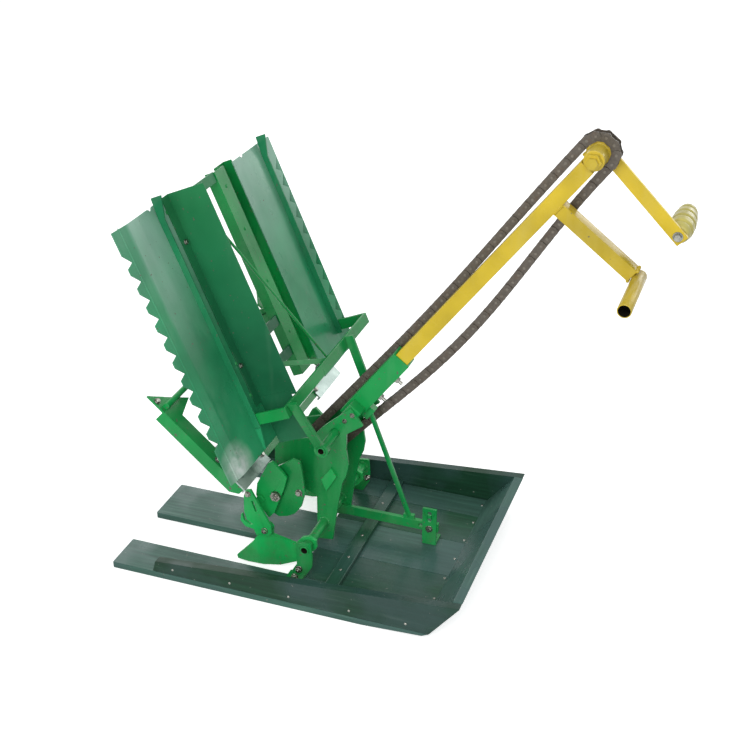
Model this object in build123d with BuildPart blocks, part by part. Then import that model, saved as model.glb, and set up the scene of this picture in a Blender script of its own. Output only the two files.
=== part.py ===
import os
from math import atan2, cos, degrees, hypot, pi, radians, sin

from build123d import *

# Hand-cranked two-row rice transplanter. X is the way it is pulled, Z is up, Y = 0 is its middle plane.
# All sizes are in millimetres.

# Fits shared by several pieces
PIN_GAP = 0.3
SEAM = 0.6
CLEAR = 5.0

# Sled
SLED_W = 430.0
SLED_TAIL_X = -320.0
SLED_NOSE_X = 258.0
SLED_GAP_X = 4.0
PLANK_T = 12.0
TAIL_SIDE_W = 74.0
TAIL_MID_W = 102.0
BOARD_T = 16.0
SIDE_TAIL_X = -240.0
SIDE_TAIL_H = 34.0
SIDE_NOSE_H = 78.0
NOSE_RAKE = 64.0
NOSE_LIFT = 6.0
LIFT_X = 150.0
BATTEN_X = 62.0
BATTEN_W = 25.0
BATTEN_T = 9.0

# Cross tube, its foot brackets and the post
TUBE_X = 19.0
TUBE_Z = 68.0
TUBE_R = 8.5
TUBE_BORE_R = 5.5
FOOT_NEAR_Y = -136.5
FOOT_FAR_Y = 154.0
FOOT_T = 5.0
FOOT_W = 29.0
FOOT_L = 34.0
POST_Y = 42.0
POST_T = 5.0

# Chain drive
DRIVE_X = -48.0
DRIVE_Z = 143.0
HEAD_X = 443.0
HEAD_Z = 783.0
CHAIN_Y = 28.0
CHAIN_W = 14.0
CHAIN_LINK_H = 14.0
CHAIN_WAIST_H = 9.5
CHAIN_PITCH = 15.875
SPROCKET_TEETH = 10
CHAIN_SAG = 26.0
CHAIN_DROOP = 8.0
SPROCKET_T = 7.0
SHAFT_R = 9.0
CRANK_R = 177.0
CRANK_BAR_W = 22.0
CRANK_BAR_T = 6.0
CRANK_DROP = 45.0
GRIP_R = 18.5
GRIP_L = 100.0

# Handle
BEAM = 25.0
SOCKET = 33.0
BEARING_R = 16.0
BEAM_WALL = 2.5
BEAM_TOP_GAP = 0.3
SOCKET_LOW = 166.6
SOCKET_L = 160.0
SOCKET_GRIP = 90.0
ARM_AT = 96.0
ARM_L = 163.0
ARM_SIZE = 22.0
GRIP_TUBE_R = 11.0
GRIP_TUBE_BORE_R = 9.0
GRIP_TUBE_END_Y = -120.0

# Seedling trays: s runs up the floor, c is the height of the floor's plane
TRAY_TILT = 67.0
TRAY_C = 66.0
TRAY_LOW = 262.0
TRAY_TOP = 706.0
TRAY_HALF_W = 264.0
TRAY_INNER_Y = 100.0
TRAY_T = 2.0
TOOTH_PITCH = 32.0
TOOTH_COUNT = 11
DIVIDER_H = 71.0
UBAR_S = 317.0
UBAR_C = 130.0
BAR_W = 20.0
BAR_T = 5.0
SLIDE = 45.0

# Planting linkage, measured from the middle plane
ROW_Y = 125.0
LINK_T = 6.0
PIN_R = 5.0
KNEE_X = -60.0
KNEE_Z = 84.0
THROW = 30.0
ROCKER_Y = 115.0
KNEE_PIN_L = 19.0

GUIDE_UP = 145.2
GUIDE_FRONT = 2.0
GUIDE_R = 8.0

SIDES = (("near", -1), ("far", 1))
HALF_W = SLED_W / 2
TILT = radians(TRAY_TILT)
T_DIR = Vector(-cos(TILT), 0, sin(TILT))
N_DIR = Vector(sin(TILT), 0, cos(TILT))
BEAM_LEN = hypot(HEAD_X - DRIVE_X, HEAD_Z - DRIVE_Z)
U_DIR = Vector((HEAD_X - DRIVE_X) / BEAM_LEN, 0, (HEAD_Z - DRIVE_Z) / BEAM_LEN)
P_DIR = Vector(U_DIR.Z, 0, -U_DIR.X)
GUIDE_X = DRIVE_X + U_DIR.X * GUIDE_UP + P_DIR.X * GUIDE_FRONT
GUIDE_Z = DRIVE_Z + U_DIR.Z * GUIDE_UP + P_DIR.Z * GUIDE_FRONT
SOCKET_FOOT = BEAM_LEN - SOCKET_LOW
SOCKET_TOP = SOCKET_FOOT - SOCKET_L
BEAM_FOOT = SOCKET_TOP + SOCKET_GRIP
BEAM_ANGLE = degrees(atan2(U_DIR.Z, U_DIR.X))
PITCH_R = CHAIN_PITCH / 2 / sin(pi / SPROCKET_TEETH)


def at_y(y):
    """Plane of X and Z at the given Y; a positive extrusion runs toward -Y."""
    return Plane.XZ.offset(-y)


def tray_point(c, y, s):
    """Point at height c over the trays' zero plane, at Y and at s up the slope."""
    p = N_DIR * c + T_DIR * s
    return Vector(p.X, y, p.Z)


def beam_point(along, side, y):
    """Point measured down the handle beam from its head, and to the beam's front side."""
    p = Vector(HEAD_X, 0, HEAD_Z) - U_DIR * along + P_DIR * side
    return Vector(p.X, y, p.Z)


os.makedirs("parts", exist_ok=True)

# Sled planks: three tails and two short boards that close the floor ahead of the gaps
PLANKS = (
    ("sled_tail_near", -HALF_W, -HALF_W + TAIL_SIDE_W, SLED_TAIL_X),
    ("sled_floor_near", -HALF_W + TAIL_SIDE_W + SEAM, -TAIL_MID_W / 2 - SEAM, SLED_GAP_X),
    ("sled_tail_middle", -TAIL_MID_W / 2, TAIL_MID_W / 2, SLED_TAIL_X),
    ("sled_floor_far", TAIL_MID_W / 2 + SEAM, HALF_W - TAIL_SIDE_W - SEAM, SLED_GAP_X),
    ("sled_tail_far", HALF_W - TAIL_SIDE_W, HALF_W, SLED_TAIL_X),
)
for plank_name, y_low, y_high, tail_x in PLANKS:
    with BuildPart() as plank:
        with BuildSketch(at_y(y_high)):
            with BuildLine():
                Polyline(
                    (tail_x, 0),
                    (LIFT_X, 0),
                    (SLED_NOSE_X, NOSE_LIFT),
                    (SLED_NOSE_X + PLANK_T, PLANK_T),
                    (tail_x, PLANK_T),
                    close=True,
                )
            make_face()
        extrude(amount=y_high - y_low)
    plank.part.label = plank_name
    export_step(plank.part, f"parts/{plank_name}.step")

# Sled side boards, low at the tail and full height at the nose
for side_name, side in SIDES:
    board_out = HALF_W if side > 0 else -HALF_W + BOARD_T
    with BuildPart() as sled_side:
        with BuildSketch(at_y(board_out)):
            with BuildLine():
                Polyline(
                    (SIDE_TAIL_X, PLANK_T),
                    (SLED_NOSE_X + PLANK_T, PLANK_T),
                    (SLED_NOSE_X + NOSE_RAKE, SIDE_NOSE_H),
                    (SIDE_TAIL_X + 6, SIDE_TAIL_H),
                    close=True,
                )
            make_face()
        extrude(amount=BOARD_T)
    sled_side.part.label = f"sled_side_{side_name}"
    export_step(sled_side.part, f"parts/sled_side_{side_name}.step")

# Sloping board that closes the nose
with BuildPart() as sled_front_board:
    with BuildSketch(at_y(HALF_W - BOARD_T)):
        with BuildLine():
            Polyline(
                (SLED_NOSE_X + PLANK_T - BOARD_T, PLANK_T),
                (SLED_NOSE_X + PLANK_T, PLANK_T),
                (SLED_NOSE_X + NOSE_RAKE, SIDE_NOSE_H),
                (SLED_NOSE_X + NOSE_RAKE - BOARD_T, SIDE_NOSE_H),
                close=True,
            )
        make_face()
    extrude(amount=SLED_W - 2 * BOARD_T)
sled_front_board.part.label = "sled_front_board"
export_step(sled_front_board.part, "parts/sled_front_board.step")

# Batten nailed across the floor
with BuildPart() as sled_batten:
    with Locations((BATTEN_X + BATTEN_W / 2, 0, PLANK_T + BATTEN_T / 2)):
        Box(BATTEN_W, SLED_W - 2 * BOARD_T, BATTEN_T)
sled_batten.part.label = "sled_batten"
export_step(sled_batten.part, "parts/sled_batten.step")

# Foot brackets that hold the ends of the cross tube on the sled
FEET = ((-1, FOOT_NEAR_Y), (1, FOOT_FAR_Y))
FOOT_TOP = TUBE_Z + TUBE_R + 5
with BuildPart() as foot_brackets:
    for side, foot_y in FEET:
        with BuildSketch(at_y(foot_y + FOOT_T / 2)):
            with BuildLine():
                Polyline(
                    (TUBE_X - FOOT_W, PLANK_T),
                    (TUBE_X, PLANK_T),
                    (TUBE_X + 13, TUBE_Z - 33),
                    (TUBE_X + 14, TUBE_Z - 15),
                    (TUBE_X + 12, FOOT_TOP + 2),
                    (TUBE_X - 15, FOOT_TOP - 1),
                    (TUBE_X - 15, TUBE_Z - 32),
                    close=True,
                )
            make_face()
            with Locations((TUBE_X, TUBE_Z)):
                Circle(TUBE_R + PIN_GAP, mode=Mode.SUBTRACT)
        extrude(amount=FOOT_T)
        with Locations((TUBE_X - FOOT_W / 2, foot_y + side * (FOOT_L - FOOT_T) / 2, PLANK_T + FOOT_T / 2)):
            Box(FOOT_W, FOOT_L, FOOT_T)
foot_brackets.part.label = "foot_brackets"
export_step(foot_brackets.part, "parts/foot_brackets.step")

# Cross tube, open at both ends; the rockers swing on it
CROSS_LOW_Y = FOOT_NEAR_Y - FOOT_T / 2 - 1
CROSS_HIGH_Y = FOOT_FAR_Y + FOOT_T / 2 + 1
with BuildPart() as cross_tube:
    with BuildSketch(at_y(CROSS_HIGH_Y)):
        with Locations((TUBE_X, TUBE_Z)):
            Circle(TUBE_R)
            Circle(TUBE_BORE_R, mode=Mode.SUBTRACT)
    extrude(amount=CROSS_HIGH_Y - CROSS_LOW_Y)
cross_tube.part.label = "cross_tube"
export_step(cross_tube.part, "parts/cross_tube.step")

# Sloping rails: their top edges set the plane of the gates and of the cross bar
RAIL_LEN = 215.0
RAIL_DROP = 42.0
RAIL_TAIL_X = DRIVE_X - 5.2 - RAIL_LEN * cos(radians(RAIL_DROP))
RAIL_TAIL_Z = DRIVE_Z + 81.1 + RAIL_LEN * sin(radians(RAIL_DROP))
RAIL_H = 24.0
RAIL_T = 4.0
RAIL_HALF = 216.0
GATE_BAR_H = 10.0
R_DIR = Vector(cos(radians(RAIL_DROP)), 0, -sin(radians(RAIL_DROP)))
Q_DIR = Vector(sin(radians(RAIL_DROP)), 0, cos(radians(RAIL_DROP)))


def rail_point(along, over):
    """X and Z of a point down the rails from their tail, and over their top edge."""
    p = Vector(RAIL_TAIL_X, 0, RAIL_TAIL_Z) + R_DIR * along + Q_DIR * over
    return (p.X, p.Z)


# Post plates: a tongue below the cross tube, a bulge in front and a corner under the cross bar
with BuildPart() as post_plates:
    for side_name, side in SIDES:
        with BuildSketch(at_y(side * POST_Y + POST_T / 2)):
            with BuildLine():
                Polyline(
                    (TUBE_X - 15, TUBE_Z - 40),
                    (TUBE_X + 15, TUBE_Z - 36),
                    (TUBE_X + 26, TUBE_Z + 40),
                    (TUBE_X + 35, TUBE_Z + 88),
                    (TUBE_X + 43, TUBE_Z + 106),
                    (TUBE_X + 47, TUBE_Z + 128),
                    (GUIDE_X + 20, GUIDE_Z - 32),
                    (GUIDE_X + 21, GUIDE_Z + 1),
                    (TUBE_X + 74, TUBE_Z + 212),
                    (TUBE_X + 52, TUBE_Z + 242),
                    (GUIDE_X - 21, GUIDE_Z + 9),
                    (TUBE_X - 22, TUBE_Z + 170),
                    rail_point(RAIL_LEN - 4, -GATE_BAR_H),
                    rail_point(RAIL_LEN - 16, -GATE_BAR_H),
                    (DRIVE_X - 26, DRIVE_Z + 20),
                    (DRIVE_X - 26, DRIVE_Z - 16),
                    (DRIVE_X - 6, DRIVE_Z - 21),
                    (TUBE_X - 34, TUBE_Z + 60),
                    (TUBE_X - 14, TUBE_Z + 52),
                    (TUBE_X - 14, TUBE_Z - 6),
                    close=True,
                )
            make_face()
            with Locations((TUBE_X, TUBE_Z)):
                RegularPolygon(TUBE_R + PIN_GAP, 16, major_radius=False, mode=Mode.SUBTRACT)
            with Locations((DRIVE_X, DRIVE_Z)):
                Circle(SHAFT_R + PIN_GAP, mode=Mode.SUBTRACT)
            with Locations((GUIDE_X, GUIDE_Z)):
                RegularPolygon(GUIDE_R + PIN_GAP, 16, major_radius=False, mode=Mode.SUBTRACT)
        extrude(amount=POST_T)
post_plates.part.label = "post_plates"
export_step(post_plates.part, "parts/post_plates.step")

# Small lug plate on the near post plate
with BuildPart() as post_lug:
    with BuildSketch(at_y(-POST_Y - POST_T / 2)):
        with BuildLine():
            Polyline(
                (TUBE_X - 3, TUBE_Z + 91),
                (TUBE_X + 16, TUBE_Z + 118),
                (TUBE_X + 26, TUBE_Z + 102),
                (TUBE_X + 6, TUBE_Z + 68),
                close=True,
            )
        make_face()
    extrude(amount=5)
post_lug.part.label = "post_lug"
export_step(post_lug.part, "parts/post_lug.step")

# Bearing cases of the drive shaft: a shaped plate on a sleeve, outside each post plate
CASE_IN = 84.0
CASE_T = 6.0
CASE_SHAPE = (
    (29, 74), (42, 70), (46, 50), (49, 22), (50, 10), (47, -3), (42, -21),
    (30, -38), (15, -47), (-1, -51), (-18, -42), (-22, 0), (-4, 50),
)
with BuildPart() as drive_cases:
    for side_name, side in SIDES:
        with BuildSketch(at_y(side * (CASE_IN + CASE_T / 2) + CASE_T / 2)):
            with BuildLine():
                Polyline([(DRIVE_X + dx, DRIVE_Z + dz) for dx, dz in CASE_SHAPE], close=True)
            make_face()
            with Locations((DRIVE_X, DRIVE_Z)):
                Circle(SHAFT_R + PIN_GAP, mode=Mode.SUBTRACT)
        extrude(amount=CASE_T)
        sleeve_l = CASE_IN - POST_Y - POST_T / 2
        with BuildSketch(at_y(side * (CASE_IN - sleeve_l / 2) + sleeve_l / 2)):
            with Locations((DRIVE_X, DRIVE_Z)):
                RegularPolygon(SHAFT_R + 7, 8)
                Circle(SHAFT_R + PIN_GAP, mode=Mode.SUBTRACT)
        extrude(amount=sleeve_l)
drive_cases.part.label = "drive_cases"
export_step(drive_cases.part, "parts/drive_cases.step")

# Saddle between the near post plate and the beam's socket
SADDLE_LOW = -POST_Y + POST_T / 2
SADDLE_HIGH = -SOCKET / 2
with BuildPart() as post_saddle:
    with BuildSketch(at_y(SADDLE_HIGH)):
        with Locations(Location((beam_point(SOCKET_FOOT - 20, 0, 0).X, beam_point(SOCKET_FOOT - 20, 0, 0).Z))):
            Rectangle(40, 24, rotation=BEAM_ANGLE)
    extrude(amount=SADDLE_HIGH - SADDLE_LOW)
post_saddle.part.label = "post_saddle"
export_step(post_saddle.part, "parts/post_saddle.step")

# Depth bar, with the slot that sets the working depth
DEPTH_HIGH_Y = POST_Y - POST_T / 2
DEPTH_T = 8.0
DEPTH_H = 18.0
DEPTH_Z = TUBE_Z - 22
DEPTH_END_X = 208.0
DEPTH_START_X = TUBE_X - 12.0
with BuildPart() as depth_bar:
    with BuildSketch(at_y(DEPTH_HIGH_Y)):
        with Locations(((DEPTH_START_X + DEPTH_END_X) / 2, DEPTH_Z)):
            Rectangle(DEPTH_END_X - DEPTH_START_X, DEPTH_H)
        with Locations((DEPTH_END_X - 22, DEPTH_Z)):
            SlotOverall(30, 8, mode=Mode.SUBTRACT)
    extrude(amount=DEPTH_T)
depth_bar.part.label = "depth_bar"
export_step(depth_bar.part, "parts/depth_bar.step")

# Angle bracket that carries the bar's front end, with its column of holes
BRACKET_HIGH_Y = DEPTH_HIGH_Y - DEPTH_T
BRACKET_T = 5.0
BRACKET_W = 26.0
BRACKET_X = DEPTH_END_X - 15
BRACKET_TOP = 88.0
with BuildPart() as front_bracket:
    with BuildSketch(at_y(BRACKET_HIGH_Y)):
        with Locations((BRACKET_X, (PLANK_T + BRACKET_TOP) / 2)):
            Rectangle(BRACKET_W, BRACKET_TOP - PLANK_T)
        with Locations((BRACKET_X, BRACKET_TOP - 10), (BRACKET_X, BRACKET_TOP - 24)):
            Circle(4.0, mode=Mode.SUBTRACT)
    extrude(amount=BRACKET_T)
    with Locations((BRACKET_X, BRACKET_HIGH_Y - BRACKET_T / 2 + 13, PLANK_T + BRACKET_T / 2)):
        Box(BRACKET_W, 26 + BRACKET_T, BRACKET_T)
front_bracket.part.label = "front_bracket"
export_step(front_bracket.part, "parts/front_bracket.step")

# Brace rod from the socket's front face down to the depth bar, between two flat lugs
BRACE_R = 4.5
BRACE_TOP = beam_point(SOCKET_FOOT - 30, SOCKET / 2 + 7, 0)
BRACE_LOW = Vector(DEPTH_END_X - 56, DEPTH_HIGH_Y - DEPTH_T / 2, DEPTH_Z + DEPTH_H / 2 + 4)
BRACE_LEN = (BRACE_TOP - BRACE_LOW).length
with BuildPart() as brace_rod:
    with BuildSketch(Plane(origin=BRACE_LOW, z_dir=BRACE_TOP - BRACE_LOW)):
        Circle(BRACE_R)
    extrude(amount=BRACE_LEN)
    with BuildSketch(Plane(origin=beam_point(SOCKET_FOOT - 30, SOCKET / 2, 0), x_dir=(0, 1, 0), z_dir=P_DIR)):
        Rectangle(16, 24)
    extrude(amount=12)
    with Locations((BRACE_LOW.X, BRACE_LOW.Y, BRACE_LOW.Z)):
        Box(20, DEPTH_T, 8)
brace_rod.part.label = "brace_rod"
export_step(brace_rod.part, "parts/brace_rod.step")

# Socket, handle beam and T-arm are square tubes along or across the beam's line
BEAM_PLANE_X = Vector(0, 1, 0)
BEAM_TOP = BEARING_R + BEAM_TOP_GAP
with BuildPart() as beam_socket:
    with BuildSketch(Plane(origin=beam_point(SOCKET_FOOT, 0, 0), x_dir=BEAM_PLANE_X, z_dir=U_DIR)):
        Rectangle(SOCKET, SOCKET)
        Rectangle(BEAM + 2 * PIN_GAP, BEAM + 2 * PIN_GAP, mode=Mode.SUBTRACT)
    extrude(amount=SOCKET_FOOT - SOCKET_TOP)
beam_socket.part.label = "beam_socket"
export_step(beam_socket.part, "parts/beam_socket.step")

with BuildPart() as handle_beam:
    with BuildSketch(Plane(origin=beam_point(BEAM_FOOT, 0, 0), x_dir=BEAM_PLANE_X, z_dir=U_DIR)):
        Rectangle(BEAM, BEAM)
        Rectangle(BEAM - 2 * BEAM_WALL, BEAM - 2 * BEAM_WALL, mode=Mode.SUBTRACT)
    extrude(amount=BEAM_FOOT - BEAM_TOP)
handle_beam.part.label = "handle_beam"
export_step(handle_beam.part, "parts/handle_beam.step")

with BuildPart() as handle_arm:
    with BuildSketch(Plane(origin=beam_point(ARM_AT, BEAM / 2, 0), x_dir=BEAM_PLANE_X, z_dir=P_DIR)):
        Rectangle(ARM_SIZE, ARM_SIZE)
    extrude(amount=ARM_L - BEAM / 2)
handle_arm.part.label = "handle_arm"
export_step(handle_arm.part, "parts/handle_arm.step")

GRIP_TUBE_AT = beam_point(ARM_AT, ARM_L + GRIP_TUBE_R, 0)
with BuildPart() as handle_tube:
    with BuildSketch(at_y(ARM_SIZE / 2)):
        with Locations((GRIP_TUBE_AT.X, GRIP_TUBE_AT.Z)):
            Circle(GRIP_TUBE_R)
            Circle(GRIP_TUBE_BORE_R, mode=Mode.SUBTRACT)
    extrude(amount=ARM_SIZE / 2 - GRIP_TUBE_END_Y)
handle_tube.part.label = "handle_tube"
export_step(handle_tube.part, "parts/handle_tube.step")

# Bearing tube at the head of the beam
with BuildPart() as bearing_tube:
    with BuildSketch(at_y(BEAM / 2 + 1)):
        with Locations((HEAD_X, HEAD_Z)):
            RegularPolygon(BEARING_R, 24)
            Circle(SHAFT_R + PIN_GAP, mode=Mode.SUBTRACT)
    extrude(amount=BEAM + 6)
bearing_tube.part.label = "bearing_tube"
export_step(bearing_tube.part, "parts/bearing_tube.step")

# Crank: shaft with a stepped nut, sprocket, flat arm and turned grip
CRANK_BOLT_H = 6.0
CRANK_ARM_LOW = CHAIN_Y + CHAIN_W / 2 + CLEAR + CRANK_BOLT_H
CRANK_ARM_HIGH = CRANK_ARM_LOW + CRANK_BAR_T
BEARING_NEAR_Y = BEAM / 2 + 1 - (BEAM + 6)
with BuildPart() as crank_shaft:
    with BuildSketch(at_y(CRANK_ARM_LOW)):
        with Locations((HEAD_X, HEAD_Z)):
            Circle(SHAFT_R)
    extrude(amount=CRANK_ARM_LOW - BEARING_NEAR_Y + 4)
    with BuildSketch(at_y(BEARING_NEAR_Y - 1)):
        with Locations((HEAD_X, HEAD_Z)):
            RegularPolygon(13, 6)
    extrude(amount=7)
    with BuildSketch(at_y(BEARING_NEAR_Y - 8)):
        with Locations((HEAD_X, HEAD_Z)):
            RegularPolygon(9, 6)
    extrude(amount=7)
crank_shaft.part.label = "crank_shaft"
export_step(crank_shaft.part, "parts/crank_shaft.step")

# Sprockets: tooth tips stay inside the chain, which is one fixed loop
TIP_R = PITCH_R - CHAIN_LINK_H / 2 - 2 * PIN_GAP
SPROCKETS = (
    ("upper_sprocket", HEAD_X, HEAD_Z),
    ("lower_sprocket", DRIVE_X, DRIVE_Z),
)
for sprocket_name, hub_x, hub_z in SPROCKETS:
    with BuildPart() as sprocket:
        with BuildSketch(at_y(CHAIN_Y + SPROCKET_T / 2)):
            with Locations((hub_x, hub_z)):
                RegularPolygon(TIP_R, 2 * SPROCKET_TEETH)
                Circle(SHAFT_R + PIN_GAP, mode=Mode.SUBTRACT)
                with PolarLocations(TIP_R, SPROCKET_TEETH):
                    Rectangle(4, 5, mode=Mode.SUBTRACT)
        extrude(amount=SPROCKET_T)
    sprocket.part.label = sprocket_name
    export_step(sprocket.part, f"parts/{sprocket_name}.step")

CRANK_DIR = Vector(cos(radians(CRANK_DROP)), 0, -sin(radians(CRANK_DROP)))
CRANK_END = Vector(HEAD_X, 0, HEAD_Z) + CRANK_DIR * CRANK_R
with BuildPart() as crank_arm:
    with BuildSketch(at_y(CRANK_ARM_HIGH)):
        with Locations(((HEAD_X + CRANK_END.X) / 2, (HEAD_Z + CRANK_END.Z) / 2)):
            Rectangle(CRANK_R + CRANK_BAR_W, CRANK_BAR_W, rotation=-CRANK_DROP)
        with Locations((CRANK_END.X, CRANK_END.Z)):
            Circle(PIN_R + PIN_GAP, mode=Mode.SUBTRACT)
    extrude(amount=CRANK_BAR_T)
crank_arm.part.label = "crank_arm"
export_step(crank_arm.part, "parts/crank_arm.step")

# Turned grip: a neck, a full barrel and a rounded end, in shares of its length and greatest radius
# Columns: share of length, share of radius
GRIP_PROFILE = ((0.0, 0.70), (0.10, 0.84), (0.30, 1.0), (0.58, 1.0), (0.80, 0.88), (0.94, 0.68), (1.0, 0.40))
GRIP_PLANE = Plane(origin=(CRANK_END.X, CRANK_ARM_HIGH, CRANK_END.Z), x_dir=(1, 0, 0), z_dir=(0, 0, 1))
with BuildPart() as crank_grip:
    with BuildSketch(GRIP_PLANE):
        with BuildLine():
            Polyline((0, 0), *[(GRIP_R * r, GRIP_L * k) for k, r in GRIP_PROFILE], (0, GRIP_L), close=True)
        make_face()
    revolve(axis=Axis((CRANK_END.X, 0, CRANK_END.Z), (0, 1, 0)))
    with BuildSketch(at_y(CRANK_ARM_LOW)):
        with Locations((CRANK_END.X, CRANK_END.Z)):
            RegularPolygon(9, 6)
    extrude(amount=CRANK_BOLT_H)
    with BuildSketch(at_y(CRANK_ARM_HIGH)):
        with Locations((CRANK_END.X, CRANK_END.Z)):
            Circle(PIN_R)
    extrude(amount=CRANK_BAR_T)
crank_grip.part.label = "crank_grip"
export_step(crank_grip.part, "parts/crank_grip.step")

# Chain: one fixed loop, its links drawn as waisted plates
LINK_COUNT = 2 * round((BEAM_LEN + pi * PITCH_R) / CHAIN_PITCH)
LOOP_LEN = 2 * BEAM_LEN + 2 * pi * PITCH_R


def chain_point(dist, height):
    """Point at a distance along the loop from the drive sprocket's front side, and a height over it."""
    dist = dist % LOOP_LEN
    arc = pi * PITCH_R
    out = PITCH_R + height
    if dist < BEAM_LEN:
        slack = CHAIN_SAG * sin(pi * dist / BEAM_LEN) ** 2
        p = Vector(DRIVE_X, 0, DRIVE_Z) + U_DIR * dist + P_DIR * (out + slack)
    elif dist < BEAM_LEN + arc:
        a = (dist - BEAM_LEN) / PITCH_R
        p = Vector(HEAD_X, 0, HEAD_Z) + P_DIR * (out * cos(a)) + U_DIR * (out * sin(a))
    elif dist < 2 * BEAM_LEN + arc:
        back = dist - BEAM_LEN - arc
        droop = CHAIN_DROOP * sin(pi * back / BEAM_LEN) ** 2
        p = Vector(HEAD_X, 0, HEAD_Z) - U_DIR * back - P_DIR * (out - droop)
    else:
        a = (dist - 2 * BEAM_LEN - arc) / PITCH_R
        p = Vector(DRIVE_X, 0, DRIVE_Z) - P_DIR * (out * cos(a)) - U_DIR * (out * sin(a))
    return (p.X, p.Z)


LINK_SHAPE = ((0.18, CHAIN_LINK_H), (0.50, CHAIN_WAIST_H), (0.82, CHAIN_LINK_H))
with BuildPart() as chain:
    with BuildSketch(at_y(CHAIN_Y + CHAIN_W / 2)):
        with BuildLine():
            Polyline(
                [
                    chain_point((k + f) * LOOP_LEN / LINK_COUNT, h / 2)
                    for k in range(LINK_COUNT)
                    for f, h in LINK_SHAPE
                ],
                close=True,
            )
        make_face()
        with BuildLine():
            Polyline(
                [
                    chain_point((k + f) * LOOP_LEN / LINK_COUNT, -h / 2)
                    for k in range(LINK_COUNT)
                    for f, h in LINK_SHAPE
                ],
                close=True,
            )
        make_face(mode=Mode.SUBTRACT)
    extrude(amount=CHAIN_W)
chain.part.label = "chain"
export_step(chain.part, "parts/chain.step")

# Drive shaft with its end nuts, and the crank plates of the two rows
CRANK_PLATE_OUT = ROCKER_Y - LINK_T / 2 - CLEAR - 5.0
CRANK_PLATE_IN = CRANK_PLATE_OUT - LINK_T
NUT_OUT = CRANK_PLATE_OUT + 5.0
with BuildPart() as drive_shaft:
    with BuildSketch(at_y(CRANK_PLATE_OUT)):
        with Locations((DRIVE_X, DRIVE_Z)):
            Circle(SHAFT_R)
    extrude(amount=2 * CRANK_PLATE_OUT)
    for side_name, side in SIDES:
        with BuildSketch(at_y(side * (CRANK_PLATE_OUT + 2.5) + 2.5)):
            with Locations((DRIVE_X, DRIVE_Z)):
                RegularPolygon(9.5, 6)
        extrude(amount=5)
drive_shaft.part.label = "drive_shaft"
export_step(drive_shaft.part, "parts/drive_shaft.step")

THROW_ANGLE = 200.0
THROW_X = DRIVE_X + THROW * cos(radians(THROW_ANGLE))
THROW_Z = DRIVE_Z + THROW * sin(radians(THROW_ANGLE))
CRANK_PLATE_SHAPE = (
    (-35, 18), (-12, 64), (-5, 69), (16, 49), (22, 41), (16, 18), (6, -9), (-4, -36), (-15, -49), (-32, -26), (-38, -6),
)
with BuildPart() as crank_plates:
    for side_name, side in SIDES:
        plate_high = CRANK_PLATE_OUT if side > 0 else -CRANK_PLATE_IN
        with BuildSketch(at_y(plate_high)):
            with BuildLine():
                Polyline([(DRIVE_X + dx, DRIVE_Z + dz) for dx, dz in CRANK_PLATE_SHAPE], close=True)
            make_face()
            with Locations((DRIVE_X, DRIVE_Z)):
                Circle(SHAFT_R + PIN_GAP, mode=Mode.SUBTRACT)
        extrude(amount=LINK_T)
        with BuildSketch(at_y(side * (CRANK_PLATE_OUT + 2.5) + 2.5)):
            with Locations((THROW_X, THROW_Z)):
                RegularPolygon(8, 6)
        extrude(amount=5)
crank_plates.part.label = "crank_plates"
export_step(crank_plates.part, "parts/crank_plates.step")

# Rockers: guard sheets that swing on the cross tube and carry the knee pins; offsets from the tube
ROCKER_SHAPE = (
    (-141, -58), (-139, -65), (-119, -67), (-89, -66), (-56, -59), (-25, -44), (6, -16), (14, -6), (13, 9), (0, 15),
    (-13, 10), (-26, -6), (-69, 3), (-67, 20), (-73, 26), (-85, 26), (-91, 20), (-93, 1), (-100, -8), (-110, -24),
)
for side_name, side in SIDES:
    with BuildPart() as rocker:
        with BuildSketch(at_y(side * ROCKER_Y + LINK_T / 2)):
            with BuildLine():
                Polyline([(TUBE_X + dx, TUBE_Z + dz) for dx, dz in ROCKER_SHAPE], close=True)
            make_face()
            with Locations((TUBE_X, TUBE_Z)):
                Circle(TUBE_R + PIN_GAP, mode=Mode.SUBTRACT)
        extrude(amount=LINK_T)
        with BuildSketch(at_y(side * (ROCKER_Y - LINK_T / 2 + KNEE_PIN_L / 2) + KNEE_PIN_L / 2)):
            with Locations((KNEE_X, KNEE_Z)):
                Circle(PIN_R)
        extrude(amount=KNEE_PIN_L)
    rocker.part.label = f"rocker_{side_name}"
    export_step(rocker.part, f"parts/rocker_{side_name}.step")

# Planting links on the knee pins, each with its hooked finger; offsets from the knee
LINK_OUTLINE = (
    (-37, 65), (-33, 76), (-24, 79), (12, 10), (13, -2), (8, -10), (-9, -10), (-17, -14), (-21, -2), (-37, 0),
    (-46, 11), (-44, 25), (-38, 27),
)
HOOK_GAP = ((-43, 28), (-39, 11), (-28, 5), (-22, 8), (-34, 15), (-37, 28))
for side_name, side in SIDES:
    with BuildPart() as planter:
        with BuildSketch(at_y(side * ROW_Y + LINK_T / 2)):
            with BuildLine():
                Polyline([(KNEE_X + dx, KNEE_Z + dz) for dx, dz in LINK_OUTLINE], close=True)
            make_face()
            with BuildLine():
                Polyline([(KNEE_X + dx, KNEE_Z + dz) for dx, dz in HOOK_GAP], close=True)
            make_face(mode=Mode.SUBTRACT)
            with Locations((KNEE_X - 18, KNEE_Z + 46)):
                Rectangle(22, 4.5, rotation=-72, mode=Mode.SUBTRACT)
            with Locations((KNEE_X, KNEE_Z)):
                Circle(PIN_R + PIN_GAP, mode=Mode.SUBTRACT)
        extrude(amount=LINK_T)
    planter.part.label = f"planter_{side_name}"
    export_step(planter.part, f"parts/planter_{side_name}.step")

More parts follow.
